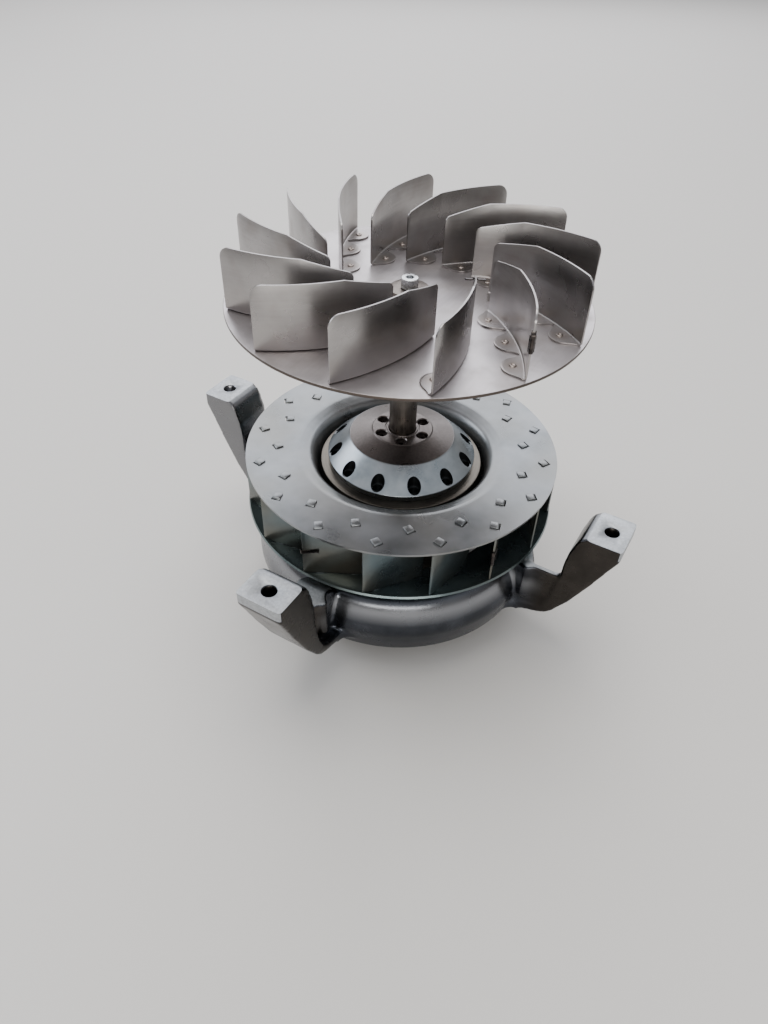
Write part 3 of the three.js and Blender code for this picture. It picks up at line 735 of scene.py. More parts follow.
stack_build = bmesh.new()
spin(stack_build, soften([
    (TUBE_RADIUS + 0.1, STACK_LOW_Z), (STATOR_RADIUS, STACK_LOW_Z), (STATOR_RADIUS, STACK_HIGH_Z),
    (TUBE_RADIUS + 0.1, STACK_HIGH_Z)], 0.3))
stator_stack = link_mesh("stator_stack", stack_build)
slot_build = bmesh.new()
prism(slot_build, [
    (STACK_SLOT_START, STACK_LOW_Z - 1), (STATOR_RADIUS + 1, STACK_LOW_Z - 1),
    (STATOR_RADIUS + 1, STACK_HIGH_Z + 1), (STACK_SLOT_START, STACK_HIGH_Z + 1)],
    -STACK_SLOT_HALF_WIDTH, STACK_SLOT_HALF_WIDTH)
cut(stator_stack, repeat_round_axis("stack_slots", link_mesh("stack_slot", slot_build), STACK_SLOTS,
                                    STACK_FIRST_SLOT))

tube_build = bmesh.new()
spin(tube_build, soften([
    (BEARING_RADIUS, STATOR_FLANGE_Z), (30, STATOR_FLANGE_Z), (30, 28.5), (15, 29.5), (TUBE_RADIUS, 33),
    (TUBE_RADIUS, TUBE_TOP_Z), (BEARING_RADIUS, TUBE_TOP_Z)], 0.4))
bearing_tube = link_mesh("stator_bearing_tube", tube_build)


# Varnished sheet steel: near black with faint level lines, drawn coarser than the real
# half-millimetre sheets so that they hold at this size. A wave texture's pitch is 2 pi over
# twenty times its scale.
SHEET_LINE_PITCH = 2.369
SHEET_LINE_DEPTH = 0.08
SHEET_DIRT = 9.0


def varnished_sheets():
    material, tree = new_material("varnished_sheet_steel")
    place = add_node(tree, "ShaderNodeTexCoord").outputs["Object"]
    bands = add_node(tree, "ShaderNodeTexWave", {
        "Vector": place, "Scale": math.pi / (10 * SHEET_LINE_PITCH * MM), "Distortion": 0.0},
        bands_direction="Z").outputs["Fac"]
    dirt = add_node(tree, "ShaderNodeTexNoise", {
        "Vector": place, "Scale": 1 / (SHEET_DIRT * MM), "Detail": 4.0, "Roughness": GRAIN_ROUGHNESS})
    dirty = add_node(tree, "ShaderNodeMapRange", {
        "Value": dirt, "From Min": GRAIN_LOW, "From Max": GRAIN_HIGH})
    sheets = add_node(tree, "ShaderNodeMix", {"Factor": dirty, "A": 0x2B2826, "B": 0x433E3A},
                      data_type="RGBA")
    on_line = add_node(tree, "ShaderNodeMapRange", {
        "Value": bands, "From Min": 0.4, "From Max": 0.9, "To Max": 0.5})
    colour = add_node(tree, "ShaderNodeMix", {"Factor": on_line, "A": sheets, "B": 0x1A1817},
                      data_type="RGBA")
    relief = add_node(tree, "ShaderNodeBump", {
        "Height": bands, "Distance": SHEET_LINE_DEPTH * MM, "Strength": 1.0})
    shader = add_node(tree, "ShaderNodeBsdfPrincipled", {
        "Base Color": colour, "Metallic": 0.6, "Roughness": 0.45, "Normal": relief})
    add_node(tree, "ShaderNodeOutputMaterial", {"Surface": shader})
    return material


# Resin-dipped copper: warm brown turns under a glossy coat of varnish, drawn coarser than the
# real wire so that they show.
WIRE_PITCH = 1.777
WIRE_DEPTH = 0.25


def dipped_copper():
    material, tree = new_material("resin_dipped_copper")
    place = add_node(tree, "ShaderNodeTexCoord").outputs["Object"]
    turns = add_node(tree, "ShaderNodeTexWave", {
        "Vector": place, "Scale": math.pi / (10 * WIRE_PITCH * MM), "Distortion": 1.5, "Detail": 1.0},
        bands_direction="Z").outputs["Fac"]
    on_wire = add_node(tree, "ShaderNodeMapRange", {"Value": turns, "From Min": 0.2, "From Max": 0.9})
    colour = add_node(tree, "ShaderNodeMix", {"Factor": on_wire, "A": 0x4A1F0E, "B": 0x8C4420},
                      data_type="RGBA")
    relief = add_node(tree, "ShaderNodeBump", {
        "Height": turns, "Distance": WIRE_DEPTH * MM, "Strength": 1.0})
    shader = add_node(tree, "ShaderNodeBsdfPrincipled", {
        "Base Color": colour, "Metallic": 0.4, "Roughness": 0.3, "Coat Weight": 0.6, "Normal": relief})
    add_node(tree, "ShaderNodeOutputMaterial", {"Surface": shader})
    return material


copper = dipped_copper()
head_build = bmesh.new()
for head_z in (STACK_LOW_Z - HEAD_OVER_STACK, STACK_HIGH_Z + HEAD_OVER_STACK):
    prism(head_build, soften([
        (HEAD_INNER, head_z - HEAD_INNER_HALF_HEIGHT), (HEAD_OUTER, head_z - HEAD_OUTER_HALF_HEIGHT),
        (HEAD_OUTER, head_z + HEAD_OUTER_HALF_HEIGHT), (HEAD_INNER, head_z + HEAD_INNER_HALF_HEIGHT)],
        HEAD_ROUNDING), -HEAD_HALF_WIDTH, HEAD_HALF_WIDTH)
stator_coils = repeat_round_axis("stator_coils", link_mesh("coil_head", head_build), STACK_SLOTS, 0,
                                 copper)

dress(stator_stack, varnished_sheets(), "bracket", stands_for=("motor_stator",))
dress(stator_coils, copper, "bracket")
mark_cast_painted_light(bearing_tube)
dress(bearing_tube, die_cast, "bracket")


# Rotor can: the turned steel bell of the motor, open below. Its beige machined rim shows
# in the impeller's dish, round the cap.
can_low, can_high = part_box("rotor_can")
CAN_RADIUS = can_high.x / MM
CAN_BOTTOM_Z = can_low.z / MM
CAN_TOP_Z = can_high.z / MM
CAN_WALL = 5.5
CAN_ROOF = 6.0
SHAFT_BORE_RADIUS = 7.8

can_build = bmesh.new()
spin(can_build, soften([
    (SHAFT_BORE_RADIUS, CAN_TOP_Z - CAN_ROOF), (CAN_RADIUS - CAN_WALL, CAN_TOP_Z - CAN_ROOF),
    (CAN_RADIUS - CAN_WALL, CAN_BOTTOM_Z), (CAN_RADIUS, CAN_BOTTOM_Z), (CAN_RADIUS, CAN_BOTTOM_Z + 4),
    (CAN_RADIUS - 0.6, CAN_BOTTOM_Z + 4.4), (CAN_RADIUS - 0.6, CAN_BOTTOM_Z + 5.6),
    (CAN_RADIUS, CAN_BOTTOM_Z + 6), (CAN_RADIUS, CAN_TOP_Z), (SHAFT_BORE_RADIUS, CAN_TOP_Z)], 0.45))
rotor_can = link_mesh("rotor_can_turned", can_build)


# Turned steel with a light oil film: beige and softly shining, with fine tool rings. The real
# ones are some tenths of a millimetre apart and are drawn coarser so that they show.
TOOL_RING_PITCH = 1.579
TOOL_RING_DEPTH = 0.02
OIL_FILM = 14.0


def turned_steel():
    material, tree = new_material("turned_steel")
    place = add_node(tree, "ShaderNodeTexCoord").outputs["Object"]
    rings = add_node(tree, "ShaderNodeTexWave", {
        "Vector": place, "Scale": math.pi / (10 * TOOL_RING_PITCH * MM), "Distortion": 0.6,
        "Detail": 2.0}, wave_type="RINGS", rings_direction="Z").outputs["Fac"]
    film = add_node(tree, "ShaderNodeTexNoise", {
        "Vector": place, "Scale": 1 / (OIL_FILM * MM), "Detail": 4.0, "Roughness": GRAIN_ROUGHNESS})
    filmy = add_node(tree, "ShaderNodeMapRange", {
        "Value": film, "From Min": GRAIN_LOW, "From Max": GRAIN_HIGH})
    steel = add_node(tree, "ShaderNodeMix", {"Factor": filmy, "A": 0x5E5A54, "B": 0x78736B},
                     data_type="RGBA")
    on_ring = add_node(tree, "ShaderNodeMapRange", {
        "Value": rings, "From Min": 0.3, "From Max": 0.7, "To Max": 0.25})
    colour = add_node(tree, "ShaderNodeMix", {"Factor": on_ring, "A": steel, "B": 0x5C574F},
                      data_type="RGBA")
    sheen = add_node(tree, "ShaderNodeMapRange", {
        "Value": film, "From Min": GRAIN_LOW, "From Max": GRAIN_HIGH, "To Min": 0.30, "To Max": 0.44})
    relief = add_node(tree, "ShaderNodeBump", {
        "Height": rings, "Distance": TOOL_RING_DEPTH * MM, "Strength": 1.0})
    shader = add_node(tree, "ShaderNodeBsdfPrincipled", {
        "Base Color": colour, "Metallic": 1.0, "Roughness": sheen, "Normal": relief})
    add_node(tree, "ShaderNodeOutputMaterial", {"Surface": shader})
    return material


dress(rotor_can, turned_steel(), "rotor", stands_for=("rotor_can",))


# Rotor cap: a turned cone of cast metal over the motor. Twelve upright bores break out through its
# steep foot, and six stepped screw holes stand round the shaft.
CAP_BORES = 12
CAP_BORE_PHASE = 9.8
CAP_BORE_CIRCLE = 37.7
CAP_BORE_RADIUS = 3.75
CAP_LEDGE_RADIUS = 2.8
CAP_LEDGE_Z = 97.2
CAP_FLOOR_Z = 93.4
CAP_HOLES = 6
CAP_HOLE_PHASE = -4.0
CAP_HOLE_CIRCLE = 12.9
CAP_HOLE_RADIUS = 3.3
CAP_SHOULDER = (29.5, 108.6)
CAP_FACE_RADIUS = 16.6
CAP_RECESS_DEPTH = 2.4
CAP_RECESS_SEAT = 0.3
CAP_SCREW_RADIUS = 1.5
CAP_SCREW_DEPTH = 5.0
cap_low, cap_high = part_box("rotor_cap")
CAP_RADIUS = cap_high.x / MM
CAP_BOTTOM_Z = cap_low.z / MM
CAP_FACE_Z = cap_high.z / MM

cap_build = bmesh.new()
spin(cap_build, soften([
    (SHAFT_BORE_RADIUS, CAP_BOTTOM_Z), (CAP_RADIUS - 1.6, CAP_BOTTOM_Z), (CAP_RADIUS - 1.2, 95.8),
    (CAP_RADIUS, 96.2), (CAP_RADIUS, 96.8), CAP_SHOULDER, (CAP_FACE_RADIUS + 0.5, CAP_FACE_Z - 0.5),
    (CAP_FACE_RADIUS, CAP_FACE_Z), (9.8, CAP_FACE_Z), (9.6, CAP_FACE_Z - 0.5), (8.9, CAP_FACE_Z - 0.5),
    (8.7, CAP_FACE_Z), (SHAFT_BORE_RADIUS, CAP_FACE_Z)], 0.25), steps=192)
rotor_cap = link_mesh("rotor_cap_cone", cap_build)
bore_build = bmesh.new()
spin(bore_build, [(0, CAP_FLOOR_Z), (CAP_LEDGE_RADIUS, CAP_FLOOR_Z), (CAP_LEDGE_RADIUS, CAP_LEDGE_Z),
                  (CAP_BORE_RADIUS, CAP_LEDGE_Z), (CAP_BORE_RADIUS, CAP_FACE_Z + 2), (0, CAP_FACE_Z + 2)],
     steps=40, centre=(CAP_BORE_CIRCLE, 0))
cut(rotor_cap, repeat_round_axis("cap_bores", link_mesh("cap_bore", bore_build), CAP_BORES,
                                 CAP_BORE_PHASE))
recess_build = bmesh.new()
spin(recess_build, [
    (0, CAP_FACE_Z - CAP_SCREW_DEPTH), (CAP_SCREW_RADIUS, CAP_FACE_Z - CAP_SCREW_DEPTH),
    (CAP_SCREW_RADIUS, CAP_FACE_Z - CAP_RECESS_DEPTH),
    (CAP_HOLE_RADIUS - CAP_RECESS_SEAT, CAP_FACE_Z - CAP_RECESS_DEPTH),
    (CAP_HOLE_RADIUS - CAP_RECESS_SEAT, CAP_FACE_Z - 0.5),
    (CAP_HOLE_RADIUS + CAP_RECESS_SEAT, CAP_FACE_Z + 0.1),
    (CAP_HOLE_RADIUS + CAP_RECESS_SEAT, CAP_FACE_Z + 1), (0, CAP_FACE_Z + 1)],
    steps=32, centre=(CAP_HOLE_CIRCLE, 0))
cut(rotor_cap, repeat_round_axis("cap_recesses", link_mesh("cap_recess", recess_build), CAP_HOLES,
                                 CAP_HOLE_PHASE))


WALL_NORMAL_Z = 0.3
FLOOR_NORMAL_Z = 0.95
BORE_RIM = 0.5


def mark_painted_bore_shade(piece):
    """Stores 1 on the walls and floors of the bores in the steep cone, where shade is painted, and 0
    elsewhere.
    """
    painted_bore_shade = piece.data.attributes.new("painted_bore_shade", "FLOAT", "FACE").data
    for face, value in zip(piece.data.polygons, painted_bore_shade):
        radius = math.hypot(face.center.x, face.center.y) / MM
        off_cone = abs(face.normal.z) < WALL_NORMAL_Z or face.normal.z > FLOOR_NORMAL_Z
        value.value = 1.0 if off_cone and CAP_SHOULDER[0] < radius < CAP_RADIUS - BORE_RIM else 0.0


# Chromated cap: brown-grey on the face and the shallow cone, smooth blue-grey with soft bands
# on the steep cone, and painted dark inside the bores as shade.
CAP_BAND = 11.0
CAP_GRAIN = 1.4
CAP_GRAIN_DEPTH = 0.01
STEEP_CONE_START = (29.0, 30.0)


def chromated_cap():
    material, tree = new_material("chromated_cap")
    place = add_node(tree, "ShaderNodeTexCoord").outputs["Object"]
    level = add_node(tree, "ShaderNodeVectorMath", {0: place, 1: (1, 1, 0)}, operation="MULTIPLY")
    radius = add_node(tree, "ShaderNodeVectorMath", {0: level}, operation="LENGTH")
    bands = add_node(tree, "ShaderNodeTexNoise", {
        "Vector": place, "Scale": 1 / (CAP_BAND * MM), "Detail": 3.0, "Roughness": GRAIN_ROUGHNESS})
    banded = add_node(tree, "ShaderNodeMapRange", {
        "Value": bands, "From Min": GRAIN_LOW, "From Max": GRAIN_HIGH})
    grain = add_node(tree, "ShaderNodeTexNoise", {
        "Vector": place, "Scale": 1 / (CAP_GRAIN * MM), "Detail": 3.0, "Roughness": GRAIN_ROUGHNESS})
    grainy = add_node(tree, "ShaderNodeMapRange", {
        "Value": grain, "From Min": GRAIN_LOW, "From Max": GRAIN_HIGH})
    steep = add_node(tree, "ShaderNodeMix", {"Factor": banded, "A": 0x8E969B, "B": 0xAFB5B9},
                     data_type="RGBA")
    shallow = add_node(tree, "ShaderNodeMix", {"Factor": grainy, "A": 0x5C5755, "B": 0x67625F},
                       data_type="RGBA")
    outwards = add_node(tree, "ShaderNodeMapRange", {
        "Value": radius, "From Min": STEEP_CONE_START[0] * MM, "From Max": STEEP_CONE_START[1] * MM})
    cone = add_node(tree, "ShaderNodeMix", {"Factor": outwards, "A": shallow, "B": steep},
                    data_type="RGBA")
    # Painted shade: the bores' walls and floors are mixed to a dark grey.
    painted_bore_shade = add_node(tree, "ShaderNodeAttribute", attribute_name="painted_bore_shade").outputs["Fac"]
    colour = add_node(tree, "ShaderNodeMix", {"Factor": painted_bore_shade, "A": cone, "B": 0x5A5D5F},
                      data_type="RGBA")
    sheen = add_node(tree, "ShaderNodeMapRange", {
        "Value": bands, "From Min": GRAIN_LOW, "From Max": GRAIN_HIGH, "To Min": 0.26, "To Max": 0.36})
    relief = add_node(tree, "ShaderNodeBump", {
        "Height": grain, "Distance": CAP_GRAIN_DEPTH * MM, "Strength": 1.0})
    shader = add_node(tree, "ShaderNodeBsdfPrincipled", {
        "Base Color": colour, "Metallic": 1.0, "Roughness": sheen, "Normal": relief})
    add_node(tree, "ShaderNodeOutputMaterial", {"Surface": shader})
    return material


mark_painted_bore_shade(rotor_cap)
dress(rotor_cap, chromated_cap(), "rotor", stands_for=("rotor_cap",))


# Shaft: a ground steel bar through the motor and up to the stainless wheel. A fine line runs
# down its side and a small key notch sits at its foot.
shaft_low, shaft_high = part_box("shaft")
SHAFT_RADIUS = shaft_high.x / MM
SHAFT_BOTTOM_Z = shaft_low.z / MM
SHAFT_TOP_Z = shaft_high.z / MM
JOURNAL_RADIUS = 4.0
NOTCH_DEGREES = -83.4
NOTCH_DEPTH = 1.5
NOTCH_HALF_WIDTH = 0.65
NOTCH_LOW_Z = CAP_FACE_Z + 0.2
NOTCH_TOP_Z = CAP_FACE_Z + 3.2
LINE_DEPTH = 0.25
LINE_HALF_WIDTH = 0.2
LINE_LOW_Z = CAP_FACE_Z + 4
LINE_TOP_Z = SHAFT_TOP_Z - 3

shaft_build = bmesh.new()
spin(shaft_build, soften([
    (0, SHAFT_BOTTOM_Z), (JOURNAL_RADIUS, SHAFT_BOTTOM_Z), (JOURNAL_RADIUS, CAN_TOP_Z - CAN_ROOF),
    (SHAFT_RADIUS, CAN_TOP_Z - CAN_ROOF), (SHAFT_RADIUS, SHAFT_TOP_Z), (0, SHAFT_TOP_Z)], 0.4), steps=96)
shaft = link_mesh("shaft_bar", shaft_build)
notch_build = bmesh.new()
notch_turn = Matrix.Rotation(math.radians(NOTCH_DEGREES), 4, "Z")
for depth, half_width, low, high in ((NOTCH_DEPTH, NOTCH_HALF_WIDTH, NOTCH_LOW_Z, NOTCH_TOP_Z),
                                     (LINE_DEPTH, LINE_HALF_WIDTH, LINE_LOW_Z, LINE_TOP_Z)):
    prism(notch_build, [(SHAFT_RADIUS - depth, low), (SHAFT_RADIUS + 2, low), (SHAFT_RADIUS + 2, high),
                        (SHAFT_RADIUS - depth, high)], -half_width, half_width, notch_turn)
cut(shaft, link_mesh("notch_cutter", notch_build))


# Ground steel: dark and slightly brown, with close upright streaks that draw the shine out
# along the bar.
STREAK_WIDTH = 0.9
STREAK_SQUEEZE = (1, 1, 0.06)
STEEL_STAIN = 11.0


def ground_steel():
    material, tree = new_material("ground_steel")
    place = add_node(tree, "ShaderNodeTexCoord").outputs["Object"]
    stretched = add_node(tree, "ShaderNodeMapping", {"Vector": place, "Scale": STREAK_SQUEEZE})
    streaks = add_node(tree, "ShaderNodeTexNoise", {
        "Vector": stretched, "Scale": 1 / (STREAK_WIDTH * MM), "Detail": 4.0,
        "Roughness": GRAIN_ROUGHNESS})
    stain = add_node(tree, "ShaderNodeTexNoise", {
        "Vector": place, "Scale": 1 / (STEEL_STAIN * MM), "Detail": 4.0, "Roughness": GRAIN_ROUGHNESS})
    stained = add_node(tree, "ShaderNodeMapRange", {
        "Value": stain, "From Min": GRAIN_LOW, "From Max": GRAIN_HIGH})
    steel = add_node(tree, "ShaderNodeMix", {"Factor": stained, "A": 0x5E5650, "B": 0x8A827C},
                     data_type="RGBA")
    on_streak = add_node(tree, "ShaderNodeMapRange", {
        "Value": streaks, "From Min": GRAIN_LOW, "From Max": GRAIN_HIGH, "To Max": 0.4})
    colour = add_node(tree, "ShaderNodeMix", {"Factor": on_streak, "A": steel, "B": 0xA09A94},
                      data_type="RGBA")
    sheen = add_node(tree, "ShaderNodeMapRange", {
        "Value": stain, "From Min": GRAIN_LOW, "From Max": GRAIN_HIGH, "To Min": 0.24, "To Max": 0.40})
    shader = add_node(tree, "ShaderNodeBsdfPrincipled", {
        "Base Color": colour, "Metallic": 1.0, "Roughness": sheen})
    add_node(tree, "ShaderNodeOutputMaterial", {"Surface": shader})
    return material


dark_ground_steel = ground_steel()
dress(shaft, dark_ground_steel, "rotor", stands_for=("shaft",))


# Impeller back plate: galvanised sheet, rolled down in the middle to grip the rotor can.
# Sixteen blades hang from it by two folded tabs each, which come up through slots.
BLADES = 16
BLADE_PHASE = 17.0
BLADE_LENGTH = 37.0
BLADE_SWEEP = 46.5
BLADE_SHEET = 1.0
TAB_PLACES = (8.97, 27.8)
TAB_WIDTH = 4.4
TAB_REACH = 4.4
TAB_SHEET = 0.8
PLATE_SHEET = 1.2
plate_low, plate_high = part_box("impeller_back_plate")
PLATE_RADIUS = plate_high.x / MM
PLATE_TOP_Z = plate_high.z / MM
COLLAR_Z = plate_low.z / MM
plate_middle_z = PLATE_TOP_Z - PLATE_SHEET / 2


def strip_outline(path, sheet):
    """The closed outline of a thin strip whose middle runs along an open path."""
    left = []
    right = []
    for i, point in enumerate(path):
        along = (Vector(path[min(i + 1, len(path) - 1)]) - Vector(path[max(i - 1, 0)])).normalized()
        side = Vector((-along.y, along.x)) * sheet / 2
        left.append(tuple(Vector(point) + side))
        right.append(tuple(Vector(point) - side))
    return left + right[::-1]


dish_path = [(PLATE_RADIUS, plate_middle_z), (60.5, plate_middle_z)] + curve_points([
    (58.5, plate_middle_z - 0.1), (54.6, plate_middle_z - 1.6), (51.4, 95.4), (49.2, 90.6), (48.1, 83.5),
    (46.95, 80.8), (46.95, COLLAR_Z)], 36)
plate_build = bmesh.new()
spin(plate_build, strip_outline(dish_path, PLATE_SHEET), steps=192)
back_plate = link_mesh("back_plate_sheet", plate_build)

blade_line = math.radians(180 - BLADE_SWEEP)


def along_blade(distance):
    """The point of the first blade at a distance from its outer end, before it is turned."""
    return Vector((PLATE_RADIUS + distance * math.cos(blade_line), distance * math.sin(blade_line), 0))


def tab_place(distance):
    """A frame at a tab: X to the side that it is folded to, Y along the blade."""
    return Matrix.Translation(along_blade(distance)) @ Matrix.Rotation(blade_line + math.pi / 2, 4, "Z")


SLIT_NEAR = -0.9
SLIT_FAR = 0.7
SLIT_ROOM = 0.35
slit_build = bmesh.new()
for distance in TAB_PLACES:
    prism(slit_build, [
        (SLIT_NEAR, PLATE_TOP_Z - 3), (SLIT_FAR, PLATE_TOP_Z - 3), (SLIT_FAR, PLATE_TOP_Z + 2),
        (SLIT_NEAR, PLATE_TOP_Z + 2)], -TAB_WIDTH / 2 - SLIT_ROOM, TAB_WIDTH / 2 + SLIT_ROOM,
        tab_place(distance))
cut(back_plate, repeat_round_axis("plate_slits", link_mesh("plate_slit", slit_build), BLADES,
                                  BLADE_PHASE))

FOLD_RADIUS = 0.85
FOLD_STEPS = 4
EDGE_ROUND = 0.22
fold_turns = [math.pi / 2 * step / FOLD_STEPS for step in range(FOLD_STEPS + 1)]
fold = [(FOLD_RADIUS * (1 - math.cos(turn)), FOLD_RADIUS * math.sin(turn)) for turn in fold_turns]
tab_z = PLATE_TOP_Z + TAB_SHEET / 2
tab_path = [(0, PLATE_TOP_Z - 2)] + [(x, z + tab_z - FOLD_RADIUS) for x, z in fold] + [(TAB_REACH, tab_z)]
tab_build = bmesh.new()
for distance in TAB_PLACES:
    prism(tab_build, strip_outline(tab_path, TAB_SHEET), -TAB_WIDTH / 2, TAB_WIDTH / 2,
          tab_place(distance))


def round_edges(piece, width_mm, over_degrees=50, segments=2):
    """Rounds a sheet piece's edges so that they catch the light."""
    edges = piece.modifiers.new("edges", "BEVEL")
    edges.width = width_mm * MM
    edges.segments = segments
    edges.limit_method = "ANGLE"
    edges.angle_limit = math.radians(over_degrees)
    return settle(piece)


# Galvanised sheet: blue-grey zinc with faint crystals of 8 mm and soft smudges, which break
# the shine up without hiding it. The stain is dust in patches, and the thin dull film of
# oxide on zinc keeps its dark places from going black.
ZINC_METALLIC = 0.82
ZINC_CRYSTAL = 8.0
ZINC_SMUDGE = 26.0
DUST_PATCH = 45.0


def galvanised_sheet(name, dark, light, stain, shine_low, shine_high):
    material, tree = new_material(name)
    place = add_node(tree, "ShaderNodeTexCoord").outputs["Object"]
    crystals = add_node(tree, "ShaderNodeTexVoronoi", {
        "Vector": place, "Scale": 1 / (ZINC_CRYSTAL * MM), "Randomness": 1.0}).outputs["Color"]
    crystal = add_node(tree, "ShaderNodeSeparateColor", {"Color": crystals}).outputs["Red"]
    glint = add_node(tree, "ShaderNodeMapRange", {"Value": crystal, "To Max": 0.16})
    smudge = add_node(tree, "ShaderNodeTexNoise", {
        "Vector": place, "Scale": 1 / (ZINC_SMUDGE * MM), "Detail": 3.0, "Roughness": GRAIN_ROUGHNESS})
    smudged = add_node(tree, "ShaderNodeMapRange", {
        "Value": smudge, "From Min": GRAIN_LOW, "From Max": GRAIN_HIGH})
    patches = add_node(tree, "ShaderNodeTexNoise", {
        "Vector": place, "Scale": 1 / (DUST_PATCH * MM), "Detail": 2.0, "Roughness": GRAIN_ROUGHNESS})
    dusty = add_node(tree, "ShaderNodeMapRange", {
        "Value": patches, "From Min": 0.35, "From Max": 0.7, "To Max": 0.6})
    zinc = add_node(tree, "ShaderNodeMix", {"Factor": smudged, "A": dark, "B": light},
                    data_type="RGBA")
    faceted = add_node(tree, "ShaderNodeMix", {"Factor": glint, "A": zinc, "B": light},
                       data_type="RGBA")
    colour = add_node(tree, "ShaderNodeMix", {"Factor": dusty, "A": faceted, "B": stain},
                      data_type="RGBA")
    sheen = add_node(tree, "ShaderNodeMapRange", {
        "Value": smudge, "From Min": GRAIN_LOW, "From Max": GRAIN_HIGH,
        "To Min": shine_low, "To Max": shine_high})
    shader = add_node(tree, "ShaderNodeBsdfPrincipled", {
        "Base Color": colour, "Metallic": ZINC_METALLIC, "Roughness": sheen})
    add_node(tree, "ShaderNodeOutputMaterial", {"Surface": shader})
    return material


zinc_sheet = galvanised_sheet(
    "galvanised_sheet", dark=0x6B6F71, light=0x94979A, stain=0x82807A,
    shine_low=0.25, shine_high=0.37)
blade_tab = round_edges(link_mesh("blade_tab", tab_build), EDGE_ROUND)
blade_tabs = repeat_round_axis("blade_tabs", blade_tab, BLADES, BLADE_PHASE, zinc_sheet)
dress(back_plate, zinc_sheet, "rotor", crease=40, stands_for=("impeller_back_plate",))
dress(blade_tabs, zinc_sheet, "rotor", crease=50)


# Impeller lower ring: a shallow galvanised dish, rolled down round the air inlet. The blades'
# lower tabs come through it and are folded flat underneath.
LOWER_TAB_GAP = 0.4
ring_profile = [
    (88.6, 69.5), (85.5, 68), (80, 66.9), (76, 65.7), (72, 64.2), (67, 63.2), (63, 62.7), (61, 61)]
dish_curve = [(radius, z - PLATE_SHEET / 2) for radius, z in curve_points(ring_profile, 28)]
lower_build = bmesh.new()
spin(lower_build, strip_outline(dish_curve, PLATE_SHEET), steps=192)
lower_ring = link_mesh("lower_ring_sheet", lower_build)
teal_zinc = galvanised_sheet(
    "galvanised_lower_ring", dark=0x58686C, light=0x808E90, stain=0x747B78,
    shine_low=0.22, shine_high=0.34)
dress(lower_ring, teal_zinc, "rotor", crease=40, stands_for=("impeller_inlet_ring",))


def dish_height(radius):
    """The height of the lower ring's upper face at a radius, in millimetres."""
    for (outer, high), (inner, low) in zip(ring_profile, ring_profile[1:]):
        if radius >= inner:
            return low + (high - low) * (radius - inner) / (outer - inner)
    return ring_profile[-1][1]


lower_tab_build = bmesh.new()
for distance in TAB_PLACES:
    radius = along_blade(distance).length
    low_z = dish_height(radius) - PLATE_SHEET - LOWER_TAB_GAP - BLADE_SHEET / 2
    slope = (dish_height(radius + 2) - dish_height(radius - 2)) / 4
    lower_path = [(0, low_z + 3)] + [(x, low_z + FOLD_RADIUS - z) for x, z in fold]
    lower_path.append((TAB_REACH, low_z - slope * TAB_REACH * math.cos(math.radians(BLADE_SWEEP))))
    prism(lower_tab_build, strip_outline(lower_path, BLADE_SHEET), -TAB_WIDTH / 2, TAB_WIDTH / 2,
          tab_place(distance))
lower_tab = round_edges(link_mesh("lower_tab", lower_tab_build), EDGE_ROUND)
lower_tabs = repeat_round_axis("lower_tabs", lower_tab, BLADES, BLADE_PHASE, zinc_sheet)
dress(lower_tabs, zinc_sheet, "rotor", crease=50)


# Impeller blades: sixteen flat galvanised blades, swept back, each cut below to the dish
# of the lower ring. They are greener than the plate over them, and painted darker as shade
# between the plate and the ring.
BLADE_GAP = 0.3
BLADE_END_ROOM = 0.2
BLADE_EDGE_ROUND = 0.2
BLADE_STEPS = 18
blade_build = bmesh.new()
blade_rows = []
for step in range(BLADE_STEPS + 1):
    place = along_blade(BLADE_END_ROOM + (BLADE_LENGTH - 2 * BLADE_END_ROOM) * step / BLADE_STEPS)
    low = dish_height(place.length) + BLADE_GAP
    high = PLATE_TOP_Z - PLATE_SHEET - BLADE_GAP
    side = Vector((-math.sin(blade_line), math.cos(blade_line), 0)) * BLADE_SHEET / 2
    blade_rows.append([blade_build.verts.new(place + side * sign + Vector((0, 0, z)))
                       for sign, z in ((1, low), (1, high), (-1, high), (-1, low))])
blade_build.faces.new(blade_rows[0])
blade_build.faces.new(blade_rows[-1][::-1])
for row, following in zip(blade_rows, blade_rows[1:]):
    for i in range(4):
        j = (i + 1) % 4
        blade_build.faces.new((row[i], row[j], following[j], following[i]))
blade = round_edges(link_mesh("blade", blade_build), BLADE_EDGE_ROUND)
# Painted shade: the blades' sheet is given darker colours than the plate's.
blade_zinc = galvanised_sheet(
    "galvanised_blade", dark=0x48555A, light=0x6C797D, stain=0x786B56,
    shine_low=0.24, shine_high=0.36)
blades = repeat_round_axis("impeller_blades", blade, BLADES, BLADE_PHASE, blade_zinc)
dress(blades, blade_zinc, "rotor", crease=40,
      stands_for=tuple(f"impeller_blade_{i:02d}" for i in range(1, BLADES + 1)))


# Stainless wheel disc: flat cold-rolled sheet with a deburred edge, pressed onto the end of the
# shaft by the hub screw.
disc_low, disc_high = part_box("hot_wheel_disc")
DISC_RADIUS = disc_high.x / MM
DISC_LOW_Z = disc_low.z / MM
DISC_TOP_Z = disc_high.z / MM
DISC_HOLE_RADIUS = 2.8
disc_build = bmesh.new()
spin(disc_build, soften([
    (DISC_HOLE_RADIUS, DISC_LOW_Z), (DISC_RADIUS, DISC_LOW_Z), (DISC_RADIUS, DISC_TOP_Z),
    (DISC_HOLE_RADIUS, DISC_TOP_Z)], 0.3), steps=256)
hot_disc = link_mesh("stainless_disc", disc_build)


# Cold-rolled stainless: a clear grey shine with fine rolling lines one way, broad cloudy
# streaks where it was wiped, and warm grey marks. The feet of the vanes are tanned round their
# welds, and the disc is darker at its rim.
ROLLING_LINE = 1.4
ROLLING_STRETCH = (1.0, 0.05, 1.0)
LEVEL_STRETCH = (0.05, 0.05, 1.0)
WIPED_CLOUD = 30.0
WARM_MARK = 16.0
RIM_START = 0.25
RIM_FULL = 0.05


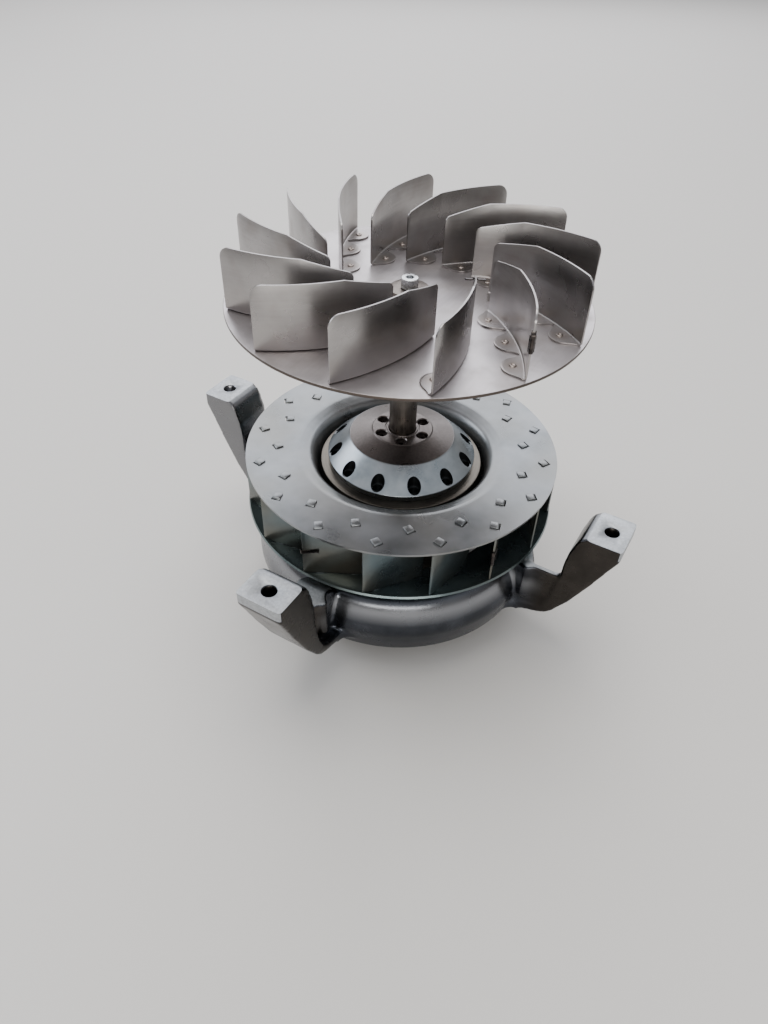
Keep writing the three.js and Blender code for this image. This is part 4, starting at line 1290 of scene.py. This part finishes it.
def stainless_sheet(name, dark, light, shine_low, shine_high, stretch, heat=False, rim=None):
    material, tree = new_material(name)
    place = add_node(tree, "ShaderNodeTexCoord").outputs["Object"]
    stretched = add_node(tree, "ShaderNodeMapping", {"Vector": place, "Scale": stretch})
    lines = add_node(tree, "ShaderNodeTexNoise", {
        "Vector": stretched, "Scale": 1 / (ROLLING_LINE * MM), "Detail": 3.0,
        "Roughness": GRAIN_ROUGHNESS})
    on_line = add_node(tree, "ShaderNodeMapRange", {
        "Value": lines, "From Min": GRAIN_LOW, "From Max": GRAIN_HIGH, "To Max": 0.35})
    clouds = add_node(tree, "ShaderNodeTexNoise", {
        "Vector": place, "Scale": 1 / (WIPED_CLOUD * MM), "Detail": 5.0, "Roughness": GRAIN_ROUGHNESS})
    cloudy = add_node(tree, "ShaderNodeMapRange", {
        "Value": clouds, "From Min": GRAIN_LOW, "From Max": GRAIN_HIGH})
    marks = add_node(tree, "ShaderNodeTexNoise", {
        "Vector": place, "Scale": 1 / (WARM_MARK * MM), "Detail": 3.0, "Roughness": 0.5})
    marked = add_node(tree, "ShaderNodeMapRange", {
        "Value": marks, "From Min": 0.5, "From Max": 0.7, "To Max": 0.35})
    wiped_and_west_lit = add_node(tree, "ShaderNodeMix", {"Factor": cloudy, "A": dark, "B": light},
                     data_type="RGBA")
    lined = add_node(tree, "ShaderNodeMix", {"Factor": on_line, "A": wiped_and_west_lit, "B": light},
                     data_type="RGBA")
    colour = add_node(tree, "ShaderNodeMix", {"Factor": marked, "A": lined, "B": 0x877D77},
                      data_type="RGBA")
    if heat:
        warm = add_node(tree, "ShaderNodeAttribute", attribute_name="weld_heat").outputs["Fac"]
        on_foot = add_node(tree, "ShaderNodeMapRange", {"Value": warm, "From Max": 0.1, "To Max": 0.8})
        near_weld = add_node(tree, "ShaderNodeMapRange", {"Value": warm, "From Min": 0.1, "To Max": 0.5})
        foot = add_node(tree, "ShaderNodeMix", {"Factor": on_foot, "A": colour, "B": 0xA39E9C},
                        data_type="RGBA")
        colour = add_node(tree, "ShaderNodeMix", {"Factor": near_weld, "A": foot, "B": 0x84705F},
                          data_type="RGBA")
    if rim is not None:
        level = add_node(tree, "ShaderNodeVectorMath", {0: place, 1: (1, 1, 0)}, operation="MULTIPLY")
        radius = add_node(tree, "ShaderNodeVectorMath", {0: level}, operation="LENGTH")
        at_rim = add_node(tree, "ShaderNodeMapRange", {
            "Value": radius, "From Min": (rim - RIM_START) * MM, "From Max": (rim - RIM_FULL) * MM})
        colour = add_node(tree, "ShaderNodeMix", {"Factor": at_rim, "A": colour, "B": 0x5A524D},
                          data_type="RGBA")
    sheen = add_node(tree, "ShaderNodeMapRange", {
        "Value": marks, "From Min": GRAIN_LOW, "From Max": GRAIN_HIGH,
        "To Min": shine_low, "To Max": shine_high})
    shader = add_node(tree, "ShaderNodeBsdfPrincipled", {
        "Base Color": colour, "Metallic": 1.0, "Roughness": sheen})
    add_node(tree, "ShaderNodeOutputMaterial", {"Surface": shader})
    return material


disc_stainless = stainless_sheet(
    "stainless_disc_sheet", dark=0xAAA4A5, light=0xC8C3C4, shine_low=0.32, shine_high=0.44,
    stretch=ROLLING_STRETCH, rim=DISC_RADIUS)
dress(hot_disc, disc_stainless, "rotor", crease=40, stands_for=("hot_wheel_disc",))


# Stainless vanes: thirteen curved vanes cut from sheet. Each stands on three round feet that are
# bent over from its lower edge and spot-welded to the disc.
VANES = 13
VANE_PHASE = 0.3
VANE_ARC_CENTRE = Vector((23.1, -72.7, 0))
VANE_ARC_RADIUS = 97.8
VANE_OUTER_DEGREES = 48.2
VANE_KINK_DEGREES = 71.5
VANE_INNER_DEGREES = 85.0
VANE_HEIGHT = 30.9
VANE_INNER_HEIGHT = 25.5
VANE_SHEET = 0.8
OUTER_CORNER = 5.5
INNER_CORNER = 2.4
FOOT_DEGREES = (54.5, 66.9, 79.9)
FOOT_CENTRE = (0.9, 2.6)
FOOT_ROUND = 8.0
FOOT_FLARE = 7.6
FOOT_END = 10.6
FOOT_ROWS = 9
VANE_COLUMNS = 104
CORNER_COLUMNS = 6
CORNER_SHARE = 1 / 60
BEND_RADIUS = 1.1
BEND_STEPS = 4
BEND_OVER_FOOT = 0.2
CUSP_HOLLOW = 1.6
NUB_PLACE = (0.3, 5.4)
HEAT_REACH = 7.0
FOOT_GAP = 0.05
THIN_EDGE_ROUND = 0.12
foot_z = DISC_TOP_Z + FOOT_GAP + VANE_SHEET / 2


def vane_point(degrees, inwards, z):
    """A point at an angle of the vane's arc, some way off it towards the arc's centre."""
    reach = VANE_ARC_RADIUS - inwards
    angle = math.radians(degrees)
    return VANE_ARC_CENTRE + Vector((reach * math.cos(angle), reach * math.sin(angle), z))


def vane_top(degrees):
    """The height of the vane's upper edge over the disc."""
    fall = max(0, (degrees - VANE_KINK_DEGREES) / (VANE_INNER_DEGREES - VANE_KINK_DEGREES))
    height = VANE_HEIGHT + (VANE_INNER_HEIGHT - VANE_HEIGHT) * fall
    for corner, end in ((OUTER_CORNER, VANE_OUTER_DEGREES), (INNER_CORNER, VANE_INNER_DEGREES)):
        short = corner - min(corner, math.radians(abs(degrees - end)) * VANE_ARC_RADIUS)
        height -= corner - math.sqrt(corner ** 2 - short ** 2)
    return height


def foot_reach(degrees):
    """How far the folded sheet reaches from the vane: round feet with flared flanks and cusps."""
    along = min(abs(math.radians(foot - degrees) * VANE_ARC_RADIUS - FOOT_CENTRE[0])
                for foot in FOOT_DEGREES)
    reach = FOOT_CENTRE[1] + math.sqrt(FOOT_ROUND ** 2 - min(along, FOOT_FLARE) ** 2)
    if along > FOOT_FLARE:
        fall = max(0.0, (FOOT_END - along) / (FOOT_END - FOOT_FLARE))
        root = BEND_RADIUS + BEND_OVER_FOOT
        reach = root + (reach - root) * fall ** CUSP_HOLLOW
    return reach


def vane_columns():
    """Angles along the vane, evenly spaced, with more of them round its two upper corners."""
    span = VANE_INNER_DEGREES - VANE_OUTER_DEGREES
    columns = [VANE_OUTER_DEGREES + span * i / VANE_COLUMNS for i in range(VANE_COLUMNS + 1)]
    for i in range(1, CORNER_COLUMNS):
        share = (i / CORNER_COLUMNS) ** 2 * CORNER_SHARE
        columns += [VANE_OUTER_DEGREES + span * share, VANE_INNER_DEGREES - span * share]
    return sorted(columns)


def vane_column(degrees):
    """The points of one column: the wall, round the bend, and out to the foot's edge."""
    top_z = DISC_TOP_Z + vane_top(degrees)
    bend_z = foot_z + BEND_RADIUS
    column = [vane_point(degrees, 0, z) for z in (top_z, (top_z + bend_z) / 2, bend_z)]
    for step in range(1, BEND_STEPS + 1):
        turn = math.pi / 2 * step / BEND_STEPS
        column.append(vane_point(degrees, BEND_RADIUS * (1 - math.cos(turn)),
                                 foot_z + BEND_RADIUS * (1 - math.sin(turn))))
    reach = foot_reach(degrees)
    for row in range(1, FOOT_ROWS + 1):
        column.append(vane_point(degrees, BEND_RADIUS + (reach - BEND_RADIUS) * row / FOOT_ROWS, foot_z))
    return column


vane_build = bmesh.new()
vane_grid = [[vane_build.verts.new(point) for point in vane_column(degrees)]
             for degrees in vane_columns()]
for near, far in zip(vane_grid, vane_grid[1:]):
    for i in range(len(near) - 1):
        vane_build.faces.new((near[i], near[i + 1], far[i + 1], far[i]))
vane = link_mesh("vane", vane_build)
thicken = vane.modifiers.new("sheet", "SOLIDIFY")
thicken.thickness = VANE_SHEET * MM
thicken.offset = 0
settle(vane)
round_edges(vane, THIN_EDGE_ROUND, over_degrees=60)

# The nub of a spot weld: a low round rise with a small crater in it.
nub_build = bmesh.new()
nub_places = [vane_point(degrees - math.degrees(NUB_PLACE[0] / VANE_ARC_RADIUS), NUB_PLACE[1], 0)
              for degrees in FOOT_DEGREES]
nub_z = foot_z + VANE_SHEET / 2
for place in nub_places:
    spin(nub_build, [(0, nub_z - 0.2), (1.75, nub_z - 0.2), (1.7, nub_z + 0.1), (1.45, nub_z + 0.42),
                     (1.05, nub_z + 0.55), (0.65, nub_z + 0.42), (0.35, nub_z + 0.25), (0, nub_z + 0.22)],
         steps=20, centre=(place.x, place.y))
nubs = link_mesh("nub", nub_build)


def mark_heat(piece, places):
    """Stores how near each point of the feet lies to a weld, from 0.1 to 1, and 0 on the wall."""
    heat = piece.data.attributes.new("weld_heat", "FLOAT", "POINT")
    for vertex, value in zip(piece.data.vertices, heat.data):
        point = vertex.co / MM
        near = min((Vector((point.x, point.y, 0)) - place).length for place in places)
        low = point.z < nub_z + 1.0
        value.value = max(0.1, 1 - near / HEAT_REACH) if low else 0.0


mark_heat(vane, nub_places)
mark_heat(nubs, nub_places)
# Painted shade: the vanes' sheet is darker than the disc's, for their upright walls; their feet are mixed
# to their own tone by the weld attribute.
vane_stainless = stainless_sheet(
    "stainless_vane_sheet", dark=0x8A8786, light=0xABA8A7, shine_low=0.25, shine_high=0.35,
    stretch=LEVEL_STRETCH, heat=True)
vanes = repeat_round_axis("stainless_vanes", vane, VANES, VANE_PHASE, vane_stainless)
weld_nubs = repeat_round_axis("weld_nubs", nubs, VANES, VANE_PHASE, vane_stainless)
dress(vanes, vane_stainless, "rotor", crease=45,
      stands_for=tuple(f"hot_vane_{i:02d}" for i in range(1, VANES + 1)))
dress(weld_nubs, vane_stainless, "rotor", crease=60)


# Balance clips: small spring-steel strips pushed over sheet edges until the wheels ran true.
# Two grip cooling blades. One with a curled end grips a vane's outer edge, and one straddles
# a vane's inner corner.
CLIP_STRIP = 0.5
CLIP_ROOM = 0.05
CLIP_FLARE = 0.6
CLIP_FLARE_LENGTH = 1.0
CLIP_BEND_STEPS = 6
CORNER_CLIP_WING = 4.7
CORNER_CLIP_DROP = 0.5


def edge_clip(build, sheet, reach, low, high, place):
    """A strip bent round a sheet's upright edge; X runs into the sheet from its edge, ends flared."""
    off = sheet / 2 + CLIP_ROOM + CLIP_STRIP / 2
    steps = range(-CLIP_BEND_STEPS, CLIP_BEND_STEPS + 1)
    turns = [math.pi / 2 * step / CLIP_BEND_STEPS for step in steps]
    bend = [(-off * math.cos(turn), off * math.sin(turn)) for turn in turns]
    path = [(reach, -off - CLIP_FLARE), (reach - CLIP_FLARE_LENGTH, -off), *bend,
            (reach - CLIP_FLARE_LENGTH, off), (reach, off + CLIP_FLARE)]
    prism(build, strip_outline(path, CLIP_STRIP), low, high,
          place @ Matrix.Rotation(math.pi / 2, 4, "X"))


def cooling_blade_edge(number):
    """The frame at the outer edge of a cooling blade, X running inwards along the blade."""
    return (Matrix.Rotation(math.radians(BLADE_PHASE + 360 / BLADES * number), 4, "Z")
            @ Matrix.Translation(along_blade(BLADE_END_ROOM)) @ Matrix.Rotation(blade_line, 4, "Z"))


def vane_frame(number, degrees, turn):
    """The frame at a place of a vane's arc; X runs across the sheet, or turned from there in degrees."""
    return (Matrix.Rotation(math.radians(VANE_PHASE + 360 / VANES * number), 4, "Z")
            @ Matrix.Translation(vane_point(degrees, 0, 0))
            @ Matrix.Rotation(math.radians(degrees + turn), 4, "Z"))


clip_build = bmesh.new()
edge_clip(clip_build, BLADE_SHEET, reach=8.5, low=83.0, high=85.2, place=cooling_blade_edge(11))
edge_clip(clip_build, BLADE_SHEET, reach=4.0, low=80.5, high=89.5, place=cooling_blade_edge(14))
outer_edge = vane_frame(12, VANE_OUTER_DEGREES, 90)
edge_clip(clip_build, VANE_SHEET, reach=1.6, low=DISC_TOP_Z + 13, high=DISC_TOP_Z + 20.5,
          place=outer_edge)
curl = [(-0.75, 20), (-0.8, 21), (-0.2, 22.2), (0.9, 22.6), (1.8, 21.9), (1.7, 20.9), (0.9, 20.5)]
prism(clip_build, strip_outline([(x, DISC_TOP_Z + z) for x, z in curve_points(curl, 16)], CLIP_STRIP),
      -1.0, 1.0, outer_edge)
hat_foot = DISC_TOP_Z + VANE_INNER_HEIGHT - CORNER_CLIP_DROP
hat = [(-CORNER_CLIP_WING, 0.5), (-CORNER_CLIP_WING + 0.4, 0), (-1.1, 0), (-0.7, 0.7), (0, 0.9),
       (0.7, 0.7), (1.1, 0), (CORNER_CLIP_WING, 0)]
prism(clip_build, strip_outline([(x, hat_foot + z) for x, z in hat], CLIP_STRIP), -0.7, 0.7,
      vane_frame(11, VANE_INNER_DEGREES - 2.0, 0))
balance_clips = round_edges(link_mesh("balance_clips", clip_build), THIN_EDGE_ROUND)


# Blued spring steel: nearly black with a hard shine, so that the clips show as dark dashes
# with one bright spot.
BLUE_TINT = 3.0


def blued_steel():
    material, tree = new_material("blued_spring_steel")
    place = add_node(tree, "ShaderNodeTexCoord").outputs["Object"]
    tint = add_node(tree, "ShaderNodeTexNoise", {
        "Vector": place, "Scale": 1 / (BLUE_TINT * MM), "Detail": 4.0, "Roughness": GRAIN_ROUGHNESS})
    tinted = add_node(tree, "ShaderNodeMapRange", {
        "Value": tint, "From Min": GRAIN_LOW, "From Max": GRAIN_HIGH})
    colour = add_node(tree, "ShaderNodeMix", {"Factor": tinted, "A": 0x2D2A2A, "B": 0x4D4744},
                      data_type="RGBA")
    sheen = add_node(tree, "ShaderNodeMapRange", {
        "Value": tint, "From Min": GRAIN_LOW, "From Max": GRAIN_HIGH, "To Min": 0.22, "To Max": 0.36})
    shader = add_node(tree, "ShaderNodeBsdfPrincipled", {
        "Base Color": colour, "Metallic": 1.0, "Roughness": sheen})
    add_node(tree, "ShaderNodeOutputMaterial", {"Surface": shader})
    return material


dress(balance_clips, blued_steel(), "rotor")


# Hub washer and hub screw: a thick turned washer under a socket-head cap screw with a
# knurled side, which pulls the stainless wheel down onto the shaft.
KNURLS = 40
KNURL_RADIUS = 0.27
HEX_RADIUS = 2.3
HEX_DEPTH = 3.0
washer_low, washer_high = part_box("hub_washer")
screw_low, screw_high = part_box("hub_screw")
WASHER_RADIUS = washer_high.x / MM
SCREW_HEAD_RADIUS = screw_high.x / MM
SCREW_TOP_Z = screw_high.z / MM
SCREW_HEAD_HEIGHT = 5.0
SCREW_CORE_RADIUS = 2.5
WASHER_HOLE_RADIUS = SCREW_CORE_RADIUS + 0.3
KNURL_CIRCLE = SCREW_HEAD_RADIUS + 0.1
HEAD_FOOT_Z = SCREW_TOP_Z - SCREW_HEAD_HEIGHT
KNURL_LOW_Z = HEAD_FOOT_Z + 0.6
KNURL_TOP_Z = SCREW_TOP_Z - 0.8

washer_build = bmesh.new()
spin(washer_build, soften([
    (WASHER_HOLE_RADIUS, washer_low.z / MM), (WASHER_RADIUS, washer_low.z / MM),
    (WASHER_RADIUS, washer_high.z / MM), (WASHER_HOLE_RADIUS, washer_high.z / MM)], 0.6), steps=96)
washer = link_mesh("hub_washer_turned", washer_build)
dress(washer, dark_ground_steel, "rotor", stands_for=("hub_washer",))

screw_build = bmesh.new()
spin(screw_build, soften([
    (0, screw_low.z / MM), (SCREW_CORE_RADIUS, screw_low.z / MM), (SCREW_CORE_RADIUS, HEAD_FOOT_Z),
    (SCREW_HEAD_RADIUS, HEAD_FOOT_Z), (SCREW_HEAD_RADIUS, SCREW_TOP_Z), (0, SCREW_TOP_Z)], 0.45), steps=96)
hub_screw = link_mesh("hub_screw_head", screw_build)
knurl_build = bmesh.new()
cylinder(knurl_build, KNURL_CIRCLE, 0, KNURL_RADIUS, KNURL_LOW_Z, KNURL_TOP_Z, sides=8)
cut(hub_screw, repeat_round_axis("knurl_grooves", link_mesh("knurl_groove", knurl_build), KNURLS))
hexagon_cutter = bmesh.new()
cylinder(hexagon_cutter, 0, 0, HEX_RADIUS, SCREW_TOP_Z - HEX_DEPTH, SCREW_TOP_Z + 1, sides=6)
cut(hub_screw, link_mesh("hexagon_cutter", hexagon_cutter))
dress(hub_screw, bright_zinc, "rotor", stands_for=("hub_screw",))
